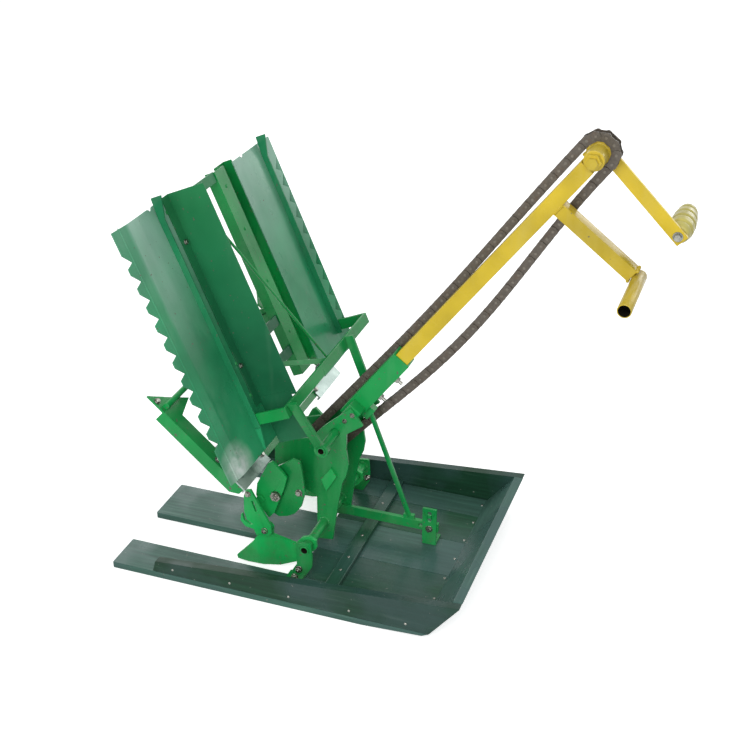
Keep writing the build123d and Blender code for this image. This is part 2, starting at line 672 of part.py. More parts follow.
# Seedling trays: a sheet with a saw-toothed outer flange and a folded-back edge behind the teeth
# Columns: name, side, inner edge, fold, flange height, top, tooth depth, place of the root, length of the notch
TRAYS = (
    ("tray_near", -1, TRAY_INNER_Y, TRAY_HALF_W - 34, -8.0, TRAY_TOP, 13.0, 0.50, 0.68),
    ("tray_far", 1, TRAY_INNER_Y + 22, TRAY_HALF_W - 37, 5.0, TRAY_TOP - 18, 16.0, 0.62, 0.97),
)
EDGE_BACK = 14.0
for tray_name, side, inner_y, fold_y, flange_n, tray_top, tooth_depth, tooth_root, tooth_end in TRAYS:
    edge_c = TRAY_C + flange_n
    cut_c = min(edge_c - TRAY_T, TRAY_C + flange_n * (1 - tooth_depth / (TRAY_HALF_W - fold_y)) - TRAY_T) - 0.5
    with BuildPart() as tray:
        with BuildSketch(Plane(origin=T_DIR * TRAY_LOW, x_dir=(0, -1, 0), z_dir=T_DIR)):
            with BuildLine():
                Polyline(
                    (-side * TRAY_HALF_W, edge_c),
                    (-side * fold_y, TRAY_C),
                    (-side * inner_y, TRAY_C),
                    (-side * inner_y, TRAY_C - TRAY_T),
                    (-side * fold_y, TRAY_C - TRAY_T),
                    (-side * (TRAY_HALF_W - TRAY_T), edge_c - TRAY_T),
                    (-side * (TRAY_HALF_W - TRAY_T), edge_c - EDGE_BACK),
                    (-side * TRAY_HALF_W, edge_c - EDGE_BACK),
                    close=True,
                )
            make_face()
        extrude(amount=tray_top - TRAY_LOW)
        with BuildSketch(Plane(origin=N_DIR * (TRAY_C + 15), x_dir=(0, 1, 0), z_dir=N_DIR)):
            for k in range(TOOTH_COUNT):
                tooth_s = tray_top - 38 - k * TOOTH_PITCH
                with BuildLine():
                    Polyline(
                        (side * (TRAY_HALF_W - TRAY_T), tooth_s),
                        (side * (TRAY_HALF_W - tooth_depth), tooth_s - TOOTH_PITCH * tooth_root),
                        (side * (TRAY_HALF_W - TRAY_T), tooth_s - TOOTH_PITCH * tooth_end),
                        close=True,
                    )
                make_face()
        extrude(amount=cut_c - TRAY_C - 15, mode=Mode.SUBTRACT)
        with BuildSketch(Plane(origin=N_DIR * (TRAY_C + 15), x_dir=(0, 1, 0), z_dir=N_DIR)):
            with BuildLine():
                Polyline(
                    (side * (TRAY_INNER_Y + 54), tray_top + 1),
                    (side * (TRAY_INNER_Y + 60), tray_top - 7),
                    (side * (TRAY_INNER_Y + 66), tray_top + 1),
                    close=True,
                )
            make_face()
        extrude(amount=-30, mode=Mode.SUBTRACT)
    tray.part.label = tray_name
    export_step(tray.part, f"parts/{tray_name}.step")

# Guide ribs standing on the tray floors, flared forward at the top
RIB_T = 3.0
RIB_H = 11.0
RIBS = (
    ("near", -150.0, TRAY_TOP),
    ("far", TRAY_HALF_W - 39, TRAY_TOP - 18),
)
with BuildPart() as tray_ribs:
    for rib_side, rib_y, rib_top in RIBS:
        with BuildSketch(at_y(rib_y + RIB_T / 2)):
            with BuildLine():
                Polyline(
                    [
                        (tray_point(c, 0, s).X, tray_point(c, 0, s).Z)
                        for c, s in (
                            (TRAY_C, TRAY_LOW + 40),
                            (TRAY_C + RIB_H, TRAY_LOW + 40),
                            (TRAY_C + RIB_H, rib_top - 26),
                            (TRAY_C + RIB_H + 12, rib_top + 12),
                            (TRAY_C + RIB_H - 8, rib_top + 12),
                            (TRAY_C, rib_top - 26),
                        )
                    ],
                    close=True,
                )
            make_face()
        extrude(amount=RIB_T)
tray_ribs.part.label = "tray_ribs"
export_step(tray_ribs.part, "parts/tray_ribs.step")

# Tall divider wall of the near tray, with a foot flange on the floor
DIVIDER_LOW = UBAR_S + BAR_W / 2 + 2
with BuildPart() as divider_near:
    with BuildSketch(Plane(origin=T_DIR * DIVIDER_LOW, x_dir=(0, -1, 0), z_dir=T_DIR)):
        with BuildLine():
            Polyline(
                (TRAY_INNER_Y + 22, TRAY_C),
                (TRAY_INNER_Y + 22, TRAY_C + TRAY_T),
                (TRAY_INNER_Y + TRAY_T, TRAY_C + TRAY_T),
                (TRAY_INNER_Y + TRAY_T, TRAY_C + DIVIDER_H),
                (TRAY_INNER_Y, TRAY_C + DIVIDER_H),
                (TRAY_INNER_Y, TRAY_C),
                close=True,
            )
        make_face()
    extrude(amount=TRAY_TOP + 2 - DIVIDER_LOW)
divider_near.part.label = "divider_near"
export_step(divider_near.part, "parts/divider_near.step")

# Channel beside the far tray: a bright front face, a side leg and a recessed web
CHANNEL_FACE = 54.0
CHANNEL_WEB = 90.0
CHANNEL_BACK = 20.0
with BuildPart() as divider_far:
    with BuildSketch(Plane(origin=T_DIR * (TRAY_LOW + 40), x_dir=(0, -1, 0), z_dir=T_DIR)):
        with BuildLine():
            Polyline(
                (-CHANNEL_FACE, TRAY_C - CHANNEL_BACK),
                (-CHANNEL_FACE, TRAY_C),
                (-CHANNEL_WEB, TRAY_C),
                (-CHANNEL_WEB, TRAY_C - CHANNEL_BACK + TRAY_T),
                (-TRAY_INNER_Y - 24, TRAY_C - CHANNEL_BACK + TRAY_T),
                (-TRAY_INNER_Y - 24, TRAY_C - TRAY_T),
                (-TRAY_INNER_Y - 26, TRAY_C - TRAY_T),
                (-TRAY_INNER_Y - 26, TRAY_C - CHANNEL_BACK),
                (-CHANNEL_WEB + TRAY_T, TRAY_C - CHANNEL_BACK),
                (-CHANNEL_WEB + TRAY_T, TRAY_C - TRAY_T),
                (-CHANNEL_FACE - TRAY_T, TRAY_C - TRAY_T),
                (-CHANNEL_FACE - TRAY_T, TRAY_C - CHANNEL_BACK),
                close=True,
            )
        make_face()
    extrude(amount=TRAY_TOP - TRAY_LOW - 54)
divider_far.part.label = "divider_far"
export_step(divider_far.part, "parts/divider_far.step")

# Straps that tie the near tray to the far channel
STRAP_W = 18.0
STRAP_T = 4.0
with BuildPart() as carriage_straps:
    for strap_s in (TRAY_TOP - 22, TRAY_LOW + 150, TRAY_LOW + 90):
        strap_plane = Plane(origin=tray_point(TRAY_C - TRAY_T, 0, strap_s), x_dir=(0, 1, 0), z_dir=N_DIR)
        with BuildSketch(strap_plane):
            with Locations(((CHANNEL_FACE - TRAY_INNER_Y - 30) / 2, 0)):
                Rectangle(TRAY_INNER_Y + 30 + CHANNEL_FACE, STRAP_W)
        extrude(amount=-STRAP_T)
carriage_straps.part.label = "carriage_straps"
export_step(carriage_straps.part, "parts/carriage_straps.step")

# U-bar of flat bar, from rib to rib in front of the trays
UBAR_LOW_Y = RIBS[0][1] + RIB_T / 2
UBAR_HIGH_Y = RIBS[1][1] + RIB_T / 2
with BuildPart() as u_bar:
    with BuildSketch(Plane(origin=T_DIR * (UBAR_S - BAR_W / 2), x_dir=(0, -1, 0), z_dir=T_DIR)):
        with BuildLine():
            Polyline(
                (-UBAR_LOW_Y, TRAY_C + 2),
                (-UBAR_LOW_Y, UBAR_C + BAR_T),
                (-UBAR_HIGH_Y - BAR_T, UBAR_C + BAR_T),
                (-UBAR_HIGH_Y - BAR_T, TRAY_C + 2),
                (-UBAR_HIGH_Y, TRAY_C + 2),
                (-UBAR_HIGH_Y, UBAR_C),
                (-UBAR_LOW_Y - BAR_T, UBAR_C),
                (-UBAR_LOW_Y - BAR_T, TRAY_C + 2),
                close=True,
            )
        make_face()
    extrude(amount=BAR_W)
u_bar.part.label = "u_bar"
export_step(u_bar.part, "parts/u_bar.step")

# Flat arms from the U-bar down to the eyes on the guide tube; the near one leans outward
# Columns: side, Y at the U-bar, Y at the eye, stand-off from the U-bar's face
ARMS = (
    ("near", -138.0, -104.0, 1.4),
    ("far", 124.0, 124.0, 0.5),
)
EYE_R = GUIDE_R + 5
EYE_T = 10.0
ARM_BAR_W = 16.0
ARM_BAR_T = 6.0
ARM_TOP_C = UBAR_C + BAR_T + ARM_BAR_W / 2
with BuildPart() as carriage_arms:
    for arm_side, bar_y, eye_y, arm_gap in ARMS:
        arm_low = Vector(GUIDE_X, eye_y, GUIDE_Z)
        arm_line = tray_point(ARM_TOP_C + arm_gap, bar_y, UBAR_S + BAR_W / 2) - arm_low
        arm_across = arm_line.cross(Vector(0, 1, 0))
        with BuildSketch(Plane(origin=arm_low, x_dir=arm_across, z_dir=arm_line)):
            Rectangle(ARM_BAR_W, ARM_BAR_T)
        extrude(amount=arm_line.length)
        with BuildSketch(at_y(eye_y + EYE_T / 2)):
            with Locations((GUIDE_X, GUIDE_Z)):
                RegularPolygon(EYE_R, 16)
        extrude(amount=EYE_T)
        with BuildSketch(at_y(eye_y + EYE_T)):
            with Locations((GUIDE_X, GUIDE_Z)):
                Circle(GUIDE_R + PIN_GAP)
        extrude(amount=2 * EYE_T, mode=Mode.SUBTRACT)
carriage_arms.part.label = "carriage_arms"
export_step(carriage_arms.part, "parts/carriage_arms.step")

# Feed wire and stay strip from the near divider across to the U-bar
WIRE_R = 2.5
WIRE_TOP = tray_point(TRAY_C + DIVIDER_H - 6, WIRE_R + 0.6 - TRAY_INNER_Y, TRAY_TOP - 87)
WIRE_LOW = tray_point(UBAR_C - WIRE_R - 0.4, CHANNEL_FACE, UBAR_S)
STAY_W = 9.0
STAY_T = 2.0
STAY_TOP = tray_point(UBAR_C - STAY_T / 2 - 0.3, 2.4 - TRAY_INNER_Y, UBAR_S + 67)
STAY_LOW = tray_point(UBAR_C - STAY_T / 2 - 0.3, CHANNEL_FACE - 15, UBAR_S + 5)
with BuildPart() as feed_wire:
    with BuildSketch(Plane(origin=WIRE_LOW, z_dir=WIRE_TOP - WIRE_LOW)):
        RegularPolygon(WIRE_R, 8)
    extrude(amount=(WIRE_TOP - WIRE_LOW).length)
    with BuildSketch(Plane(origin=STAY_LOW, x_dir=N_DIR, z_dir=STAY_TOP - STAY_LOW)):
        Rectangle(STAY_T, STAY_W)
    extrude(amount=(STAY_TOP - STAY_LOW).length)
feed_wire.part.label = "feed_wire"
export_step(feed_wire.part, "parts/feed_wire.step")

# Guide tube that slides with the carriage in both post plates
GUIDE_LOW_Y = ARMS[0][2] - EYE_T / 2 - 1
GUIDE_HIGH_Y = ARMS[1][2] + EYE_T / 2 + 1
with BuildPart() as guide_tube:
    with BuildSketch(at_y(GUIDE_HIGH_Y)):
        with Locations((GUIDE_X, GUIDE_Z)):
            Circle(GUIDE_R)
            Circle(GUIDE_R - 3, mode=Mode.SUBTRACT)
    extrude(amount=GUIDE_HIGH_Y - GUIDE_LOW_Y)
guide_tube.part.label = "guide_tube"
export_step(guide_tube.part, "parts/guide_tube.step")

# Cross bar under the trays, on the post plates' rear corners
with BuildPart() as gate_bar:
    with BuildSketch(at_y(RAIL_HALF - RAIL_T)):
        with BuildLine():
            Polyline(
                rail_point(RAIL_LEN - 16, -GATE_BAR_H),
                rail_point(RAIL_LEN - 4, -GATE_BAR_H),
                rail_point(RAIL_LEN - 4, 0),
                rail_point(RAIL_LEN - 16, 0),
                close=True,
            )
        make_face()
    extrude(amount=2 * (RAIL_HALF - RAIL_T))
gate_bar.part.label = "gate_bar"
export_step(gate_bar.part, "parts/gate_bar.step")

# Gates at the tray outlets: bent plates on the rails and the cross bar
GATE_T = 3.0
GATE_L = 42.0
GATE_IN = 113.0
with BuildPart() as gates:
    for side_name, side in SIDES:
        gate_origin = rail_point(RAIL_LEN, 0)
        gate_plane = Plane(origin=(gate_origin[0], 0, gate_origin[1]), x_dir=(0, 1, 0), z_dir=Q_DIR)
        with BuildSketch(gate_plane):
            with BuildLine():
                Polyline(
                    (side * RAIL_HALF, 0),
                    (side * RAIL_HALF, GATE_L),
                    (side * (RAIL_HALF - 43), GATE_L),
                    (side * GATE_IN, 10),
                    (side * GATE_IN, 0),
                    close=True,
                )
            make_face()
        extrude(amount=GATE_T)
        gate_high = RAIL_HALF if side > 0 else -GATE_IN
        with BuildSketch(at_y(gate_high)):
            with BuildLine():
                Polyline(
                    rail_point(RAIL_LEN, GATE_T),
                    rail_point(RAIL_LEN + 3, GATE_T),
                    rail_point(RAIL_LEN + 3, -5),
                    rail_point(RAIL_LEN, -5),
                    close=True,
                )
            make_face()
        extrude(amount=RAIL_HALF - GATE_IN)
gates.part.label = "gates"
export_step(gates.part, "parts/gates.step")

# Angle rails: a web, a flange in the gates' plane, and a gusset at the near one's tail
RAIL_FLANGE = 28.0
FLANGE_END = RAIL_LEN - 17
GUSSET_IN = 71.0
with BuildPart() as rails:
    for side_name, side in SIDES:
        rail_high = RAIL_HALF if side > 0 else -RAIL_HALF + RAIL_T
        with BuildSketch(at_y(rail_high)):
            with BuildLine():
                Polyline(
                    rail_point(32, 0),
                    rail_point(32, -RAIL_H),
                    rail_point(RAIL_LEN - 14, -RAIL_H),
                    rail_point(RAIL_LEN, -RAIL_H / 2),
                    rail_point(RAIL_LEN, 0),
                    close=True,
                )
            make_face()
        extrude(amount=RAIL_T)
        flange_plane = Plane(origin=(RAIL_TAIL_X, 0, RAIL_TAIL_Z), x_dir=(0, 1, 0), z_dir=Q_DIR)
        with BuildSketch(flange_plane):
            with BuildLine():
                Polyline(
                    (side * RAIL_HALF, 5),
                    (side * RAIL_HALF, -FLANGE_END),
                    (side * (RAIL_HALF - RAIL_FLANGE), -FLANGE_END),
                    (side * (RAIL_HALF - RAIL_FLANGE), -15),
                    (side * (RAIL_HALF - 12), -4),
                    close=True,
                )
            make_face()
            if side < 0:
                with BuildLine():
                    Polyline(
                        (side * (RAIL_HALF - RAIL_FLANGE + 1), -15),
                        (side * (RAIL_HALF - GUSSET_IN), -45),
                        (side * (RAIL_HALF - RAIL_FLANGE + 1), -58),
                        close=True,
                    )
                make_face()
        extrude(amount=-RAIL_T)
rails.part.label = "rails"
export_step(rails.part, "parts/rails.step")

# Rod on short feet across the rails' flanges
REAR_ROD_R = 5.0
ROD_ALONG = 29.0
ROD_OVER = REAR_ROD_R + 1
ROD_X, ROD_Z = rail_point(ROD_ALONG, ROD_OVER)
ROD_HALF = RAIL_HALF - 8
with BuildPart() as rear_rod:
    with BuildSketch(at_y(ROD_HALF)):
        with Locations((ROD_X, ROD_Z)):
            Circle(REAR_ROD_R)
    extrude(amount=2 * ROD_HALF)
    for side_name, side in SIDES:
        foot_high = ROD_HALF if side > 0 else 14 - ROD_HALF
        with BuildSketch(at_y(foot_high)):
            with BuildLine():
                Polyline(
                    rail_point(ROD_ALONG - 4, 0),
                    rail_point(ROD_ALONG + 4, 0),
                    rail_point(ROD_ALONG + 4, ROD_OVER),
                    rail_point(ROD_ALONG - 4, ROD_OVER),
                    close=True,
                )
            make_face()
        extrude(amount=14)
rear_rod.part.label = "rear_rod"
export_step(rear_rod.part, "parts/rear_rod.step")

# Hangers that slide on the rear rod: the near one on the straps, the far one on its tray
# Columns: Y, depth below the trays' floor plane
HANGERS = (
    (-92.0, TRAY_T + STRAP_T),
    (132.0, TRAY_T),
)
HANGER_T = 4.0
with BuildPart() as carriage_hangers:
    for hanger_y, hanger_back in HANGERS:
        hanger_low = tray_point(TRAY_C - hanger_back, 0, TRAY_LOW + 110)
        hanger_high = tray_point(TRAY_C - hanger_back, 0, TRAY_LOW + 158)
        with BuildSketch(at_y(hanger_y + HANGER_T / 2)):
            with BuildLine():
                Polyline(
                    (hanger_low.X, hanger_low.Z),
                    (hanger_high.X, hanger_high.Z),
                    (ROD_X - 11, ROD_Z + 11),
                    (ROD_X - 11, ROD_Z - 11),
                    (ROD_X + 11, ROD_Z - 11),
                    close=True,
                )
            make_face()
            with Locations((ROD_X, ROD_Z)):
                Circle(REAR_ROD_R + PIN_GAP, mode=Mode.SUBTRACT)
        extrude(amount=HANGER_T)
carriage_hangers.part.label = "carriage_hangers"
export_step(carriage_hangers.part, "parts/carriage_hangers.step")
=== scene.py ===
import math

import bpy
import numpy as np
from bpy.props import FloatProperty, FloatVectorProperty, IntProperty, PointerProperty
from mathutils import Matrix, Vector


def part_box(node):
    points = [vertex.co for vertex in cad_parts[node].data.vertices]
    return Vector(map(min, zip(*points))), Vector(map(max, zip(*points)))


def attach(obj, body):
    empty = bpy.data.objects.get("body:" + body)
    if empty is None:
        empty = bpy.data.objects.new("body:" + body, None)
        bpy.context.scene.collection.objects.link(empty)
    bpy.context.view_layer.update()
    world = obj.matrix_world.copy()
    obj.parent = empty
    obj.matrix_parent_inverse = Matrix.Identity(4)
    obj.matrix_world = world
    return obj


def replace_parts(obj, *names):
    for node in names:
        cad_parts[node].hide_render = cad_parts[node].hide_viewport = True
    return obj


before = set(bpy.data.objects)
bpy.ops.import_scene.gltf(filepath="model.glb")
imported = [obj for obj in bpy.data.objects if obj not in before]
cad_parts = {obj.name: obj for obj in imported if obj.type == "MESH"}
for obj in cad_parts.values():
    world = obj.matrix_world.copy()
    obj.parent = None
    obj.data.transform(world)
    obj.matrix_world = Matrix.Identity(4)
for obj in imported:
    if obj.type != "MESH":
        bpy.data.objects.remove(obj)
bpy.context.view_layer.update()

bl_info = {
    "name": "Rice transplanter dress",
    "version": (1, 0, 0),
    "blender": (4, 5, 0),
    "location": "View3D > Sidebar > Transplanter",
    "description": "Finishes, chain, grip, fasteners and studio for the hand-cranked transplanter",
    "category": "Object",
}

MM = 0.001

# Places taken from the part's source, in millimetres
DRIVE = np.array([-48.0, 143.0])
HEAD = np.array([443.0, 783.0])
TUBE = np.array([19.0, 68.0])
KNEE = np.array([-60.0, 84.0])
BEAM_LEN = float(np.hypot(*(HEAD - DRIVE)))
U_DIR = (HEAD - DRIVE) / BEAM_LEN
P_DIR = np.array([U_DIR[1], -U_DIR[0]])
TILT = math.radians(67.0)
T_DIR = np.array([-math.cos(TILT), 0.0, math.sin(TILT)])
N_DIR = np.array([math.sin(TILT), 0.0, math.cos(TILT)])
RAIL_DROP = math.radians(42.0)
R_DIR = np.array([math.cos(RAIL_DROP), 0.0, -math.sin(RAIL_DROP)])
Q_DIR = np.array([math.sin(RAIL_DROP), 0.0, math.cos(RAIL_DROP)])
RAIL_FRONT = np.array([-53.2, 0.0, 224.1])
RAIL_LEN = 215.0
SOCKET_FOOT = BEAM_LEN - 166.6
TRAY_C = 66.0
TRAY_T = 2.0
TRAY_LOW = 262.0
TRAY_TOP = 706.0
TRAY_HALF_W = 264.0
TRAY_NOTCH_Y = 160.0
TOOTH_PITCH = 32.0
TOOTH_COUNT = 11
FIRST_TOOTH = 38.0
SPROCKET_TEETH = 10
CAMERA_PLACE = (0.7662, -1.8434, 1.4221)  # in metres
Y_AXIS = np.array([0.0, 1.0, 0.0])
Z_AXIS = np.array([0.0, 0.0, 1.0])
BEAM_UP = np.array([U_DIR[0], 0.0, U_DIR[1]])
BEAM_FRONT = np.array([P_DIR[0], 0.0, P_DIR[1]])


def srgb(red, green, blue):
    """Linear colour of an 8-bit display colour: ((v + 0.055) / 1.055) to the power 2.4."""
    v = np.array([red, green, blue]) / 255.0
    linear = np.where(v <= 0.04045, v / 12.92, ((v + 0.055) / 1.055) ** 2.4)
    return tuple(float(c) for c in linear)


def tray_at(c, y, s):
    """Point at height c over the trays' zero plane, at Y and at s up the slope, in mm."""
    return N_DIR * c + T_DIR * s + Y_AXIS * y


def beam_at(along, side, y):
    """Point down the handle beam from its head, to its front side and at Y, in mm."""
    flat = HEAD - U_DIR * along + P_DIR * side
    return np.array([flat[0], y, flat[1]])


def rail_at(along, over, y):
    """Point down the rails from their tail, over their top edge and at Y, in mm."""
    return RAIL_FRONT - R_DIR * (RAIL_LEN - along) + Q_DIR * over + Y_AXIS * y


# Settings

COLOR = {"subtype": "COLOR", "size": 3, "min": 0.0, "max": 1.0}


class FinishSettings(bpy.types.PropertyGroup):
    """Colours of the paints, the boards and the metals."""

    green: FloatVectorProperty(
        name="Green enamel", description="Paint of the frame and planting gear",
        default=srgb(22, 146, 72), **COLOR,
    )
    tray_green: FloatVectorProperty(
        name="Tray enamel", description="Paint of the seedling trays",
        default=srgb(40, 142, 94), **COLOR,
    )
    board_green: FloatVectorProperty(
        name="Board paint", description="Dark paint of the sled's boards",
        default=srgb(32, 82, 57), **COLOR,
    )
    yellow: FloatVectorProperty(
        name="Yellow enamel", description="Paint of the handle and crank arm",
        default=srgb(214, 186, 48), **COLOR,
    )
    grip: FloatVectorProperty(
        name="Grip plastic", description="Colour of the turned grip",
        default=srgb(198, 188, 104), **COLOR,
    )
    chain: FloatVectorProperty(
        name="Chain steel", description="Oiled steel of the chain",
        default=srgb(88, 81, 72), **COLOR,
    )
    zinc: FloatVectorProperty(
        name="Zinc plate", description="Plated bolts and nuts",
        default=srgb(142, 143, 136), **COLOR,
    )


class HardwareSettings(bpy.types.PropertyGroup):
    """Sizes of edges, bolts and welds."""

    plate_edge: FloatProperty(
        name="Plate edge", description="Rounding of cut plate edges", unit="LENGTH", default=0.7 * MM,
    )
    sheet_edge: FloatProperty(
        name="Sheet edge", description="Rounding of thin sheet edges", unit="LENGTH", default=0.4 * MM,
    )
    board_edge: FloatProperty(
        name="Board edge", description="Rounding of the sled's boards", unit="LENGTH", default=1.6 * MM,
    )
    bolt_across: FloatProperty(
        name="Bolt size", description="Radius over the corners of an ordinary bolt head", unit="LENGTH",
        default=5.4 * MM,
    )
    tray_wave: FloatProperty(
        name="Tray waves", description="Height of the waves in the thin tray sheets", unit="LENGTH",
        default=0.7 * MM,
    )
    weld_bead: FloatProperty(
        name="Weld bead", description="Radius of a weld bead", unit="LENGTH", default=2.6 * MM,
    )


class ChainSettings(bpy.types.PropertyGroup):
    """Sizes of the roller chain."""

    pitch_radius: FloatProperty(
        name="Pitch radius", description="Radius of the chain on its sprockets", unit="LENGTH",
        default=25.687 * MM,
    )
    pitch: FloatProperty(
        name="Pitch", description="Distance between pins", unit="LENGTH", default=15.875 * MM,
    )
    sag: FloatProperty(
        name="Slack", description="Bow of the slack front span", unit="LENGTH", default=26.0 * MM,
    )
    droop: FloatProperty(
        name="Droop", description="Bow of the upper span", unit="LENGTH", default=8.0 * MM,
    )
    centre_y: FloatProperty(
        name="Chain line", description="Y of the chain's middle", unit="LENGTH", default=28.0 * MM,
    )


class StageSettings(bpy.types.PropertyGroup):
    """Camera and light."""

    lens: FloatProperty(
        name="Focal length", description="Lens for a 36 mm sensor, in millimetres", default=63.18,
    )
    azimuth: FloatProperty(
        name="Azimuth", description="Camera's turn round the machine", subtype="ANGLE",
        default=math.radians(19.9),
    )
    elevation: FloatProperty(
        name="Elevation", description="Camera's height over the horizon", subtype="ANGLE",
        default=math.radians(28.5),
    )
    fill: FloatProperty(
        name="Fill light", description="Strength of the even light all round", default=0.50,
    )
    lamp_count: IntProperty(name="Lamps", description="Number of soft lamps", default=3)


# Meshes


class Batch:
    """Collects vertex and face arrays of many small shapes for one mesh."""

    def __init__(self):
        self.verts = []
        self.faces = []
        self.count = 0

    def add(self, verts, faces):
        """Adds a shape with its faces outward: where the volume they enclose is negative, all are flipped."""
        points = np.asarray(verts, float).reshape(-1, 3)
        faces = [np.asarray(f) for f in faces]
        arm = points - points.mean(axis=0)
        volume = sum(
            np.einsum("ij,ij->", arm[f[:, 0]], np.cross(arm[f[:, k]], arm[f[:, k + 1]]))
            for f in faces for k in range(1, f.shape[1] - 1)
        )
        self.verts.append(points)
        self.faces.extend((f if volume >= 0 else f[:, ::-1]) + self.count for f in faces)
        self.count += len(points)

    def add_all(self, shapes):
        """Adds a list of shapes."""
        for shape in shapes:
            self.add(*shape)

    def build(self, name, material, body, smooth_angle=35.0):
        """Makes the object, in metres, and lets it ride on a body of the frame."""
        points = np.concatenate(self.verts) * MM
        rows = [row for f in self.faces for row in f.tolist()]
        mesh = bpy.data.meshes.new(name)
        mesh.from_pydata(points.tolist(), [], rows)
        mesh.validate()
        mesh.update()
        mesh.shade_smooth()
        mesh.set_sharp_from_angle(angle=math.radians(smooth_angle))
        mesh.materials.append(material)
        obj = bpy.data.objects.new(name, mesh)
        bpy.context.scene.collection.objects.link(obj)
        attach(obj, body)
        return obj


def grid_quads(rows, columns, wrap_columns):
    """Quads of a grid numbered row by row; wrapping joins the last column to the first."""
    last = columns if wrap_columns else columns - 1
    r, c = np.meshgrid(np.arange(rows - 1), np.arange(last), indexing="ij")
    c_next = (c + 1) % columns
    quads = np.stack([r * columns + c, r * columns + c_next, (r + 1) * columns + c_next, (r + 1) * columns + c], -1)
    return quads.reshape(-1, 4)


def side_axes(axis):
    """Two unit vectors square to a unit axis, right-handed with it."""
    helper = Z_AXIS if abs(axis[2]) < 0.9 else np.array([1.0, 0.0, 0.0])
    first = np.cross(helper, axis)
    first /= np.linalg.norm(first)
    return first, np.cross(axis, first)


def lathe(profile, base, axis, sides, turn=0.0):
    """Surface of revolution: radius(h) about a unit axis, p = base + axis h + radius (a cos t + b sin t)."""
    profile = np.asarray(profile, float)
    first, second = side_axes(axis)
    t = np.arange(sides) * 2 * math.pi / sides + turn
    ring = np.cos(t)[:, None] * first + np.sin(t)[:, None] * second
    points = np.asarray(base, float) + profile[:, None, :1] * axis + profile[:, None, 1:] * ring[None]
    quads = grid_quads(len(profile), sides, True)
    low = np.arange(sides)[::-1][None]
    high = (np.arange(sides) + (len(profile) - 1) * sides)[None]
    return points.reshape(-1, 3), [quads, low, high]


def swept_tube(path, radius, sides, normal):
    """Round profile carried along a path: p(u, t) = path(u) + radius (n cos t + b sin t), n near a fixed normal."""
    tangent = np.gradient(path, axis=0)
    tangent /= np.linalg.norm(tangent, axis=1, keepdims=True)
    across = np.cross(tangent, normal)
    across /= np.linalg.norm(across, axis=1, keepdims=True)
    up = np.cross(across, tangent)
    t = np.arange(sides) * 2 * math.pi / sides
    ring = np.cos(t)[None, :, None] * up[:, None] + np.sin(t)[None, :, None] * across[:, None]
    points = path[:, None] + radius[:, None, None] * ring
    quads = grid_quads(len(path), sides, True)[:, ::-1]
    low = np.arange(sides)[None]
    high = (np.arange(sides)[::-1] + (len(path) - 1) * sides)[None]
    return points.reshape(-1, 3), [quads, low, high]


def prisms(outlines, low, high):
    """Prisms from Y = low to Y = high over outlines of X and Z, an array of shape (count, corners, 2)."""
    count, corners = outlines.shape[:2]
    points = np.empty((count, 2, corners, 3))
    points[..., ::2] = outlines[:, None]
    points[..., 1] = np.array([low, high])[:, None]
    i = np.arange(corners)
    j = (i + 1) % corners
    base = np.arange(count)[:, None] * 2 * corners
    sides = np.stack([i, j, j + corners, i + corners], -1)[None] + base[..., None]
    caps = np.concatenate([i[None, ::-1] + base, i[None] + corners + base])
    return points, [sides.reshape(-1, 4), caps]


def hex_bolt(place, axis, across, stub=0.0):
    """Bolt: a washer disc, a six-sided chamfered head and an optional stub of thread, each a lathe."""
    base = np.asarray(place, float)
    rim, rise, height = across * 1.24, 1.5, across * 0.75
    washer = [(0, rim), (1.2, rim), (rise, rim - 0.3)]
    head = [(0, across), (height * 0.82, across), (height, across * 0.86)]
    shapes = [lathe(washer, base, axis, 20), lathe(head, base + axis * rise, axis, 6, turn=0.3)]
    if stub:
        thread = [(0, across * 0.5), (stub - 0.6, across * 0.5), (stub, across * 0.4)]
        shapes.append(lathe(thread, base + axis * (rise + height), axis, 14))
    return shapes


def dome_rivet(place, axis, radius):
    """Round rivet head: a lathe of a quarter ellipse."""
    t = np.linspace(0, math.pi / 2, 5)
    profile = np.stack([np.sin(t) * radius * 0.55, np.cos(t) * radius + 0.05], -1)
    return lathe(profile, place, axis, 14)


# Materials


